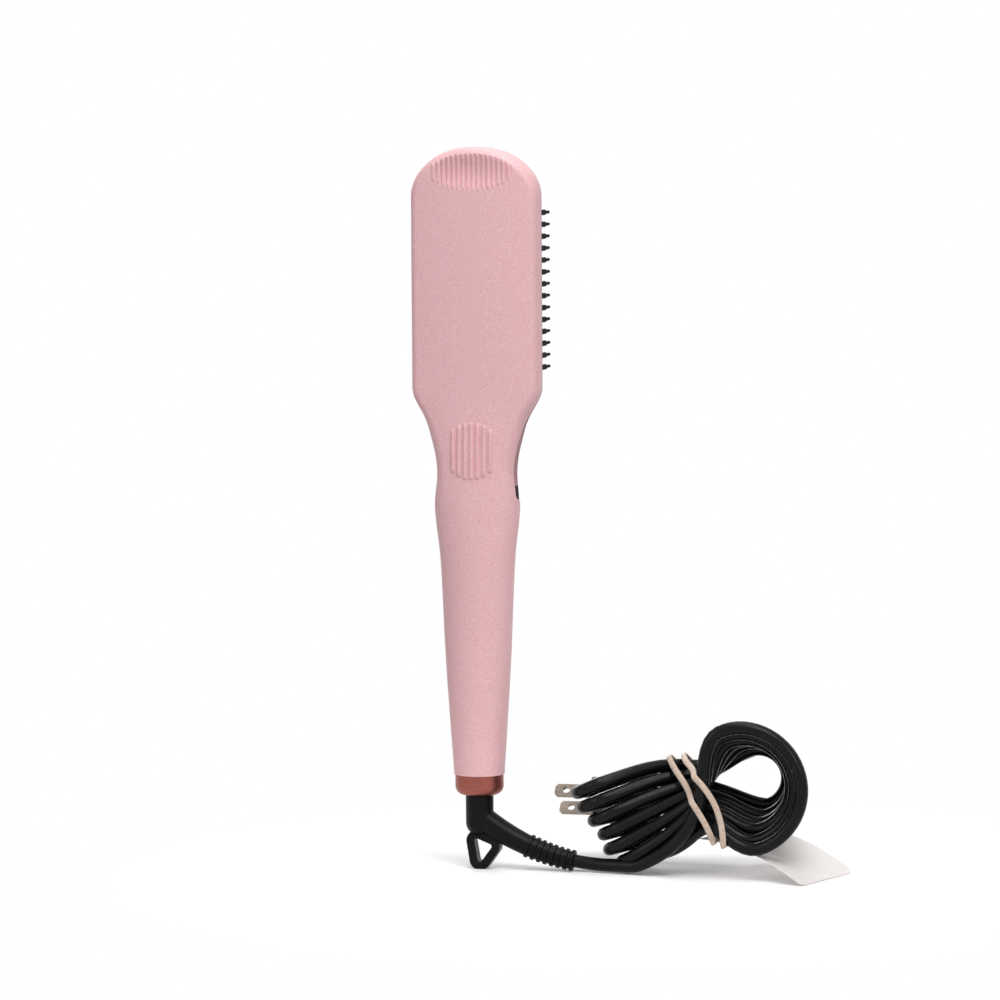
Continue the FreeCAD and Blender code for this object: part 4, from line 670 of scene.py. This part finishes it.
@dataclass
class CordSet:
    """Mains cord from the boot, wound in a hank with a twisted waist, to the plug.

    The route follows that of the solids; the hank leans a little more and its loops nest one in
    the other, as the photograph shows them. Lengths are in millimetres.

    Attributes:
        middle: middle of the hank.
        rise_deg: slope of the hank's axis.
        turns: number of turns.
        pitch: distance between neighbouring turns.
        left: distance of the left ends from the middle.
        left_share: radius of the left ends as a share of that distance.
        lean: how much the left ends fan out.
        stagger: how unevenly they lie.
        left_beat: how fast that unevenness changes.
        right: distance of the right ends.
        right_beat: how fast the loops' unevenness changes.
        right_step: how much shorter each loop behind the foremost is.
        right_least: distance of the shortest loop's end.
        loop_gap: room between the foremost loop and the next.
        loop_radius: radius of the foremost loop at the right.
        loop_shrink: how much smaller each loop behind it is.
        loop_least: radius of the smallest loop.
        loop_swing: how unevenly the loops shrink.
        waist: half the distance between the strands at the waist.
        waist_run: half the straight run there.
        twist_start: where the quarter twist starts along the axis.
        twist_stop: where it ends.
        diameter: diameter of the cord.
        length: its whole length; not used.
        lead: control points from the boot to the hank.
        tail: control points from the hank to the plug.
        bend_points: how many control points stand round an end of a turn.
        bend_step_deg: the angle between two of them.
        left_first_deg: where the first one stands round a left end.
        right_first_deg: the same for a right end.
        left_span: share of a turn that a left end takes.
        right_span: the same for a right end.
        waist_shares: shares of a turn at which it enters and leaves the upper and the lower waist.
        facets: steps of the drawn cord between two control points, and round a quarter of its section.
        nodes: the solids that the cord stands for.
        line: points along the drawn cord's middle.
    """

    middle: tuple[float, float, float] = (94.0, 6.0, 31.6)
    rise_deg: float = 19.0
    turns: float = 6.6
    pitch: float = 7.0
    left: float = 42.0
    left_share: float = 0.237
    lean: float = 0.27
    stagger: float = 1.0
    left_beat: float = 2.3
    right: float = 54.0
    right_beat: float = 1.9
    right_step: float = 1.9
    right_least: float = 42.0
    loop_gap: float = 2.0
    loop_radius: float = 26.2
    loop_shrink: float = 2.6
    loop_least: float = 12.0
    loop_swing: float = 0.8
    waist: float = 3.8
    waist_run: float = 9.0
    twist_start: float = -34.0
    twist_stop: float = 26.0
    diameter: float = 5.8
    length: float = 1660.0
    lead: tuple[tuple[float, float, float], ...] = (
        (43.0, 0.0, 4.7), (51.9, 0.0, 3.3), (67.6, -2.8, 3.7), (73.4, -3.8, 3.9))
    tail: tuple[tuple[float, float, float], ...] = (
        (123.9, 29.1, 24.9), (110.9, 29.1, 24.7), (85.5, 33.0, 27.0), (72.5, 33.0, 27.0))
    bend_points: int = 8
    bend_step_deg: float = 30.0
    left_first_deg: float = 285.0
    right_first_deg: float = 105.0
    left_span: float = 0.5
    right_span: float = 0.22
    waist_shares: tuple[float, float, float, float] = (0.28, 0.34, 0.66, 0.72)
    facets: int = 5
    nodes: tuple[str, ...] = ("cord_lead", "cord_hank", "cord_tail")
    line: list[Vector] = field(default_factory=list)

    def axes(self) -> tuple[Vector, Vector, Vector]:
        """Give the hank's place and directions.

        Returns:
            Its middle, its axis and the direction square to that in the upright plane.
        """
        rise = math.radians(self.rise_deg)
        return (Vector(self.middle), Vector((math.cos(rise), 0, math.sin(rise))),
                Vector((-math.sin(rise), 0, math.cos(rise))))

    def directions(self, place: float) -> tuple[Vector, Vector]:
        """Return the directions across a loop and along the stack at a place on the axis.

        Args:
            place: distance along the hank's axis.

        Returns:
            Both directions, which turn by a quarter from the left end to the right.
        """
        span = self.twist_stop - self.twist_start
        angle = -math.pi / 2 * (1 - smooth_step((place - self.twist_start) / span))
        upright = self.axes()[2]
        across = upright * math.cos(angle) + DEPTH * math.sin(angle)
        return across, DEPTH * math.cos(angle) - upright * math.sin(angle)

    def place(self, turn: float, along: float, out: float) -> Vector:
        """Return a point of the hank in millimetres.

        Args:
            turn: how many turns lie before it.
            along: distance along the axis.
            out: distance from the loop's middle.

        Returns:
            The point.
        """
        middle, axis, _ = self.axes()
        across, stack = self.directions(along)
        layer = (turn - self.turns / 2) * self.pitch
        return middle + axis * along + across * out + stack * layer

    def bend(self, turn: float, first_deg: float, span: float, along: float, radius: float) -> list[Vector]:
        """Return the control points round one end of a turn.

        Args:
            turn: how many turns lie before the middle of the end.
            first_deg: where the first point stands.
            span: share of a turn that the end takes.
            along: middle of the bend along the axis.
            radius: radius of the bend, which the control points stand outside.

        Returns:
            The points, from one side of the hank to the other.
        """
        wide = radius / math.cos(math.radians(self.bend_step_deg / 2))
        points = []
        for number in range(self.bend_points):
            part = turn + span * (number / (self.bend_points - 1) - 0.5)
            angle = math.radians(first_deg - self.bend_step_deg * number)
            points.append(self.place(part, along + wide * math.cos(angle), wide * math.sin(angle)))
        return points

    def loop(self, turn: int) -> list[Vector]:
        """Return the control points of one turn, from its left end round to the lower waist.

        Args:
            turn: number of the turn.

        Returns:
            Points round the left end, along the upper waist, round the right end and along the lower waist.
        """
        half_way = turn + 0.5
        layer = (half_way - self.turns / 2) * self.pitch
        left = self.left + self.lean * layer - self.stagger * math.sin(self.left_beat * turn)
        small = left * self.left_share
        swing = self.loop_swing * math.sin(self.right_beat * half_way)
        radius = max(self.loop_radius - self.loop_shrink * turn, self.loop_least) + swing
        gap = self.loop_gap if turn > 0 else 0.0
        right = max(self.right - self.right_step * turn - gap, self.right_least) + swing
        upper_in, upper_out, lower_in, lower_out = self.waist_shares
        return [
            *self.bend(turn, self.left_first_deg, self.left_span, small - left, small),
            self.place(turn + upper_in, -self.waist_run, self.waist),
            self.place(turn + upper_out, self.waist_run, self.waist),
            *self.bend(half_way, self.right_first_deg, self.right_span, right - radius, radius),
            self.place(turn + lower_in, self.waist_run, -self.waist),
            self.place(turn + lower_out, -self.waist_run, -self.waist),
        ]

    def route(self) -> list[Vector]:
        """Put the control points in order.

        Returns:
            All of them from the boot to the plug, in millimetres.
        """
        points = [Vector(point) for point in self.lead]
        points += self.loop(0)[self.bend_points:]
        last = int(self.turns)
        for turn in range(1, last):
            points += self.loop(turn)
        # The last turn is left one point before the end of its right bend.
        points += self.loop(last)[:2 * self.bend_points + 1]
        return points + [Vector(point) for point in self.tail]

    def build(self, wardrobe: Wardrobe) -> bpy.types.Object:
        """Draw the cord as one smooth spline.

        Args:
            wardrobe: the materials.

        Returns:
            The cord.
        """
        curve = bpy.data.curves.new("mains_cord", "CURVE")
        curve.dimensions = "3D"
        curve.bevel_resolution = self.facets
        curve.resolution_u = self.facets
        curve.use_fill_caps = True
        spline = curve.splines.new("NURBS")
        route = self.route()
        spline.points.add(len(route) - 1)
        for control, point in zip(spline.points, route):
            control.co = (*(point * MM), 1.0)
        spline.order_u = 3
        spline.use_endpoint_u = True
        cord = bpy.data.objects.new("mains_cord", curve)
        bpy.context.scene.collection.objects.link(cord)
        # The middle line is read before the cord gets its thickness.
        middle = bpy.data.meshes.new_from_object(cord)
        self.line = [vertex.co / MM for vertex in middle.vertices]
        bpy.data.meshes.remove(middle)
        curve.bevel_depth = self.diameter / 2 * MM
        wardrobe.dress(cord, CORD_PVC)
        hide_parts(*self.nodes)
        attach(cord, "cord_end")
        LOG.info("mains_cord: %d control points", len(route))
        return cord


@dataclass
class RubberBands:
    """Two flat rubber bands stretched round the waist of the hank, in millimetres.

    Attributes:
        places: where each lies along the hank's axis, how far it leans in degrees and how far it
            bows in front.
        width: width of the strip.
        thickness: its thickness.
        gap: distance from the strands.
        half: half the depth and half the height of the waist.
        reach: strands further than this from the middle aren't in the waist.
        arc_steps: points round each strand.
        spacing: distance between points along a band.
        bevel_share: width of the bevel along its edges, as a share of half the thickness.
        smooth_deg: edges that turn by more than this stay sharp.
    """

    places: tuple[tuple[float, float, float], ...] = ((0.5, 16.0, 6.0), (5.0, 13.0, 10.0))
    width: float = 2.7
    thickness: float = 0.95
    gap: float = 0.3
    half: tuple[float, float] = (20.0, 26.0)
    reach: float = 36.0
    arc_steps: int = 24
    spacing: float = 1.0
    bevel_share: float = 0.6
    smooth_deg: float = 60.0

    def bowed(self, bow: float, spot: Vector) -> float:
        """Return how far a band leaves its plane at a place, given by its depth and height."""
        front = smooth_step(0.5 - spot.x / (2 * self.half[0]))
        return bow * front * max(0.0, 1 - (spot.y / self.half[1]) ** 2)

    def wrap(self, cord: CordSet, middle: Vector, normal: Vector, bow: float) -> list[tuple[Vector, Vector]]:
        """Return the taut line round the strands that cross a bowed plane.

        Args:
            cord: the cord whose strands it holds.
            middle: a point of the plane.
            normal: the plane's direction.
            bow: how far the plane bows in front.

        Returns:
            Points of the line, each with the way that it faces.
        """
        up = normal.cross(DEPTH)
        offset = cord.diameter / 2 + self.gap + self.thickness / 2
        rim = []
        for before, spot, after in zip(cord.line, cord.line[1:], cord.line[2:]):
            if (spot - middle).length > self.reach:
                continue
            run = (after - before).normalized()
            side = run.cross(DEPTH).normalized()
            for step in range(self.arc_steps):
                turn = 2 * math.pi * step / self.arc_steps
                skin = spot - middle + (side * math.cos(turn) + side.cross(run) * math.sin(turn)) * offset
                flat = Vector((skin.dot(DEPTH), skin.dot(up)))
                if abs(skin.dot(normal) - self.bowed(bow, flat)) < self.width / 2 + self.spacing:
                    rim.append(flat)
        hull = [rim[index] for index in convex_hull_2d(rim)]
        points = []
        for start, stop in zip(hull, hull[1:] + hull[:1]):
            parts = max(1, round((stop - start).length / self.spacing))
            points += [start.lerp(stop, part / parts) for part in range(parts)]
        centre = sum(points, Vector((0, 0))) / len(points)
        line = []
        for index, point in enumerate(points):
            run = points[(index + 1) % len(points)] - points[index - 1]
            facing = Vector((run.y, -run.x)).normalized()
            if facing.dot(point - centre) < 0:
                facing.negate()
            spot = middle + DEPTH * point.x + up * point.y + normal * self.bowed(bow, point)
            line.append((spot, DEPTH * facing.x + up * facing.y))
        return line

    def build(self, cord: CordSet, wardrobe: Wardrobe) -> bpy.types.Object:
        """Stretch both bands round the hank.

        Args:
            cord: the cord whose waist they hold.
            wardrobe: the materials.

        Returns:
            One piece with both bands.
        """
        shape = bmesh.new()
        base, axis, _ = cord.axes()
        half_wide, half_thick = self.width / 2, self.thickness / 2
        flat = half_wide - half_thick * self.bevel_share
        section = ((-half_wide, 0), (-flat, half_thick), (flat, half_thick),
                   (half_wide, 0), (flat, -half_thick), (-flat, -half_thick))
        for place, lean_deg, bow in self.places:
            lean = math.radians(cord.rise_deg + lean_deg)
            normal = Vector((math.cos(lean), 0, math.sin(lean)))
            line = self.wrap(cord, base + axis * place, normal, bow)
            rings = []
            for index, (spot, away) in enumerate(line):
                run = line[(index + 1) % len(line)][0] - line[index - 1][0]
                side = run.cross(away).normalized()
                rings.append([shape.verts.new((spot + side * along + away * depth) * MM)
                              for along, depth in section])
            bridge(shape, rings + rings[:1])
        bands = mesh_piece("waist_bands", shape, self.smooth_deg)
        wardrobe.dress(bands, BAND_RUBBER)
        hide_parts("rubber_bands")
        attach(bands, "cord_end")
        return bands


@dataclass
class PaperTag:
    """Blank paper tag that rises from the floor to the hank, in millimetres.

    Attributes:
        corner: its near corner on the floor.
        turn_deg: direction of its length.
        length: its length.
        width: its width.
        thickness: thickness of the paper.
        floor_gap: height of the near edge.
        round_corner: radius of the near corners.
        curl: how strongly the middle of the sheet dips.
        steps: how many steps it has along its length and across it.
    """

    corner: tuple[float, float] = (148.0, -20.0)
    turn_deg: float = 159.0
    length: float = 52.0
    width: float = 44.0
    thickness: float = 0.35
    floor_gap: float = 0.3
    round_corner: float = 3.0
    curl: float = 1.2
    steps: tuple[int, int] = (40, 24)

    def build(self, wardrobe: Wardrobe) -> bpy.types.Object:
        """Bend the sheet as the solid is bent.

        Args:
            wardrobe: the materials.

        Returns:
            The tag.
        """
        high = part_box("cord_tag")[1].z / MM - self.thickness - self.floor_gap / 2
        turn = math.radians(self.turn_deg)
        run = Vector((math.cos(turn), math.sin(turn), 0))
        side = Vector((math.sin(turn), -math.cos(turn), 0))
        start = Vector((self.corner[0], self.corner[1], 0))
        shape = bmesh.new()
        layers = []
        for lift in (0.0, self.thickness):
            rows = []
            for row in range(self.steps[0] + 1):
                part = row / self.steps[0]
                ahead = part * self.length
                inset = 0.0
                if ahead < self.round_corner:
                    short = self.round_corner - ahead
                    inset = self.round_corner - math.sqrt(self.round_corner ** 2 - short ** 2)
                height = self.floor_gap + (high - self.floor_gap) * part * (2 - part) + lift
                line = []
                for column in range(self.steps[1] + 1):
                    aside = inset + (self.width - 2 * inset) * column / self.steps[1]
                    dip = self.curl * part * (1 - part) * math.sin(math.pi * aside / self.width)
                    line.append(shape.verts.new((start + run * ahead + side * aside
                                                 + Vector((0, 0, height - dip * part))) * MM))
                rows.append(line)
            layers.append(rows)
        self.skin(shape, layers)
        tag = mesh_piece("blank_tag", shape)
        wardrobe.dress(tag, TAG_PAPER)
        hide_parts("cord_tag")
        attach(tag, "cord_end")
        return tag

    def skin(self, shape: bmesh.types.BMesh, layers: list[list[list[bmesh.types.BMVert]]]) -> None:
        """Close the faces and the rim of the sheet.

        Args:
            shape: the sheet.
            layers: rows of vertices, below and above.
        """
        for rows in layers:
            for low, high in zip(rows, rows[1:]):
                for column in range(self.steps[1]):
                    shape.faces.new((low[column], low[column + 1], high[column + 1], high[column]))
        rims = []
        for rows in layers:
            left = [row[0] for row in rows]
            right = [row[-1] for row in reversed(rows)]
            rims.append(left + rows[-1][1:] + right[1:] + list(reversed(rows[0]))[1:-1])
        bridge(shape, rims)


@dataclass
class CordEnd:
    """Swivel spindle, boot and plug."""

    def dress(self, wardrobe: Wardrobe) -> None:
        """Give the cord end's solids their finishes."""
        wardrobe.dress_nodes({
            "swivel_spindle": BOOT_PVC,
            "cord_boot": BOOT_PVC,
            "plug_body": BOOT_PVC,
            "plug_blades": NICKEL_PLATE,
        })


# Studio
@dataclass(frozen=True)
class Lamp:
    """A square soft lamp.

    Attributes:
        place: where it hangs, in metres.
        side: its side in metres.
        power: its power in watts.
    """

    place: tuple[float, float, float]
    side: float
    power: float


@dataclass
class Studio:
    """Pale floor, soft lamps and the camera of the photograph.

    Attributes:
        azimuth_deg: how far the camera stands round toward +X.
        elevation_deg: how far it looks down.
        roll_deg: how far it leans to its side.
        distance: its distance in metres.
        sensor: width of its sensor in millimetres.
        frame: width of the picture at the brush.
        target: the point in the middle of the picture.
        sky: strength of the light from all round.
        lamps: the lamps, which all face the target.
        middle: the point of the floor round which it fades into the white behind.
        fade: between which distances from that point it does so.
        lift: how much the paper of the floor is brightened near the object.
        floor_half: half the side of the floor.
        paper: colour of its paper.
        paper_roughness: how rough that is.
        paper_gloss: how strongly it reflects.
    """

    azimuth_deg: float = 14.5
    elevation_deg: float = 4.5
    roll_deg: float = -0.36
    distance: float = 2.0
    sensor: float = 36.0
    frame: float = 0.44
    target: tuple[float, float, float] = (0.0095, 0.0025, 0.1634)
    sky: float = 0.32
    lamps: tuple[Lamp, ...] = (
        Lamp((-0.05, 0.1, 1.3), 0.55, 4.5),
        Lamp((0.4, -0.7, 1.3), 0.85, 13.2),
        Lamp((-1.3, -1.6, 0.9), 0.9, 6.0),
        Lamp((1.5, -1.3, 0.8), 0.7, 7.5),
        Lamp((-1.0, 1.9, 0.9), 0.9, 16.0),
    )
    middle: tuple[float, float, float] = (0.075, 0.0, 0.0)
    fade: tuple[float, float] = (0.1, 0.24)
    lift: float = 0.07
    floor_half: float = 4.0
    paper: str = "#fafafa"
    paper_roughness: float = 0.8
    paper_gloss: float = 0.1

    def camera(self) -> None:
        """Put the camera where the photograph was taken from."""
        turn, rise = math.radians(self.azimuth_deg), math.radians(self.elevation_deg)
        away = Vector((math.sin(turn) * math.cos(rise), -math.cos(turn) * math.cos(rise), math.sin(rise)))
        data = bpy.data.cameras.new("camera")
        data.sensor_width = self.sensor
        data.lens = self.sensor * self.distance / self.frame
        camera = bpy.data.objects.new("camera", data)
        camera.location = Vector(self.target) + away * self.distance
        camera.rotation_euler = away.to_track_quat("Z", "Y").to_euler()
        camera.rotation_euler.rotate_axis("Z", math.radians(self.roll_deg))
        bpy.context.scene.collection.objects.link(camera)
        bpy.context.scene.camera = camera

    def light(self) -> None:
        """Hang the lamps and light the surroundings."""
        for number, lamp in enumerate(self.lamps):
            data = bpy.data.lights.new("softbox_%d" % number, "AREA")
            data.shape = "SQUARE"
            data.size = lamp.side
            data.energy = lamp.power
            softbox = bpy.data.objects.new(data.name, data)
            softbox.location = lamp.place
            outward = Vector(lamp.place) - Vector(self.target)
            softbox.rotation_euler = outward.to_track_quat("Z", "Y").to_euler()
            bpy.context.scene.collection.objects.link(softbox)
        world = bpy.data.worlds.new("studio")
        bpy.context.scene.world = world
        world.use_nodes = True
        tree = world.node_tree
        background = tree.nodes["Background"]
        background.inputs["Color"].default_value = WHITE
        tree.links.new(self.glow(tree, self.sky, 1.0), background.inputs["Strength"])

    def glow(self, tree: bpy.types.NodeTree, lit: float, seen: float) -> bpy.types.NodeSocket:
        """Return a strength that differs between what is seen and what lights the object.

        Args:
            tree: nodes of the world or of a material.
            lit: strength for the light that falls on surfaces.
            seen: strength for what the camera, gloss and glass show.

        Returns:
            The strength.
        """
        path = add_node(tree, "ShaderNodeLightPath")
        direct = path.outputs["Is Camera Ray"]
        for ray in ("Is Glossy Ray", "Is Transmission Ray"):
            either = add_node(tree, "ShaderNodeMath", {0: direct, 1: path.outputs[ray]}, operation="MAXIMUM")
            direct = either.outputs[0]
        strength = add_node(tree, "ShaderNodeMapRange", {"Value": direct, "To Min": lit, "To Max": seen})
        return strength.outputs["Result"]

    def floor(self) -> None:
        """Lay a pale floor that fades into the white behind."""
        shape = bmesh.new()
        bmesh.ops.create_grid(shape, x_segments=1, y_segments=1, size=self.floor_half)
        floor = mesh_piece("floor", shape)
        material = bpy.data.materials.new("white_seamless_paper")
        material.use_nodes = True
        tree = material.node_tree
        shader = tree.nodes["Principled BSDF"]
        shader.inputs["Base Color"].default_value = linear(self.paper)
        shader.inputs["Roughness"].default_value = self.paper_roughness
        shader.inputs["Specular IOR Level"].default_value = self.paper_gloss
        place = add_node(tree, "ShaderNodeTexCoord").outputs["Object"]
        distance = add_node(tree, "ShaderNodeVectorMath", {0: place, 1: self.middle}, operation="DISTANCE")
        share = add_node(tree, "ShaderNodeMapRange", {
            "Value": distance.outputs["Value"], "From Min": self.fade[0], "From Max": self.fade[1]},
            interpolation_type="SMOOTHSTEP")
        lift = add_node(tree, "ShaderNodeEmission", {
            "Color": WHITE, "Strength": self.glow(tree, 0.0, self.lift)})
        near = add_node(tree, "ShaderNodeAddShader", {0: shader.outputs["BSDF"], 1: lift.outputs["Emission"]})
        far = add_node(tree, "ShaderNodeEmission", {
            "Color": WHITE, "Strength": self.glow(tree, self.sky, 1.0)})
        both = add_node(tree, "ShaderNodeMixShader", {
            0: share.outputs["Result"], 1: near.outputs["Shader"], 2: far.outputs["Emission"]})
        tree.links.new(both.outputs["Shader"], tree.nodes["Material Output"].inputs["Surface"])
        floor.data.materials.append(material)

    def build(self) -> None:
        """Set up floor, lamps, camera and colour handling."""
        bpy.context.scene.view_settings.view_transform = "Standard"
        self.floor()
        self.light()
        self.camera()


def main() -> None:
    """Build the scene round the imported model."""
    logging.basicConfig(level=logging.INFO, format="%(message)s")
    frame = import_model()
    wardrobe = Wardrobe(frame["nodes"])
    Studio().build()
    cord_set = CordSet()
    cord = cord_set.build(wardrobe)
    bands = RubberBands().build(cord_set, wardrobe)
    tag = PaperTag().build(wardrobe)
    for assembly in (Casing(), BrushHead(), InnerWorks(), CordEnd()):
        assembly.dress(wardrobe)
    controls = Controls()
    controls.dress(wardrobe)
    controls.build(wardrobe)
    GripRibs().build(wardrobe)


if __name__ == "__main__":
    main()
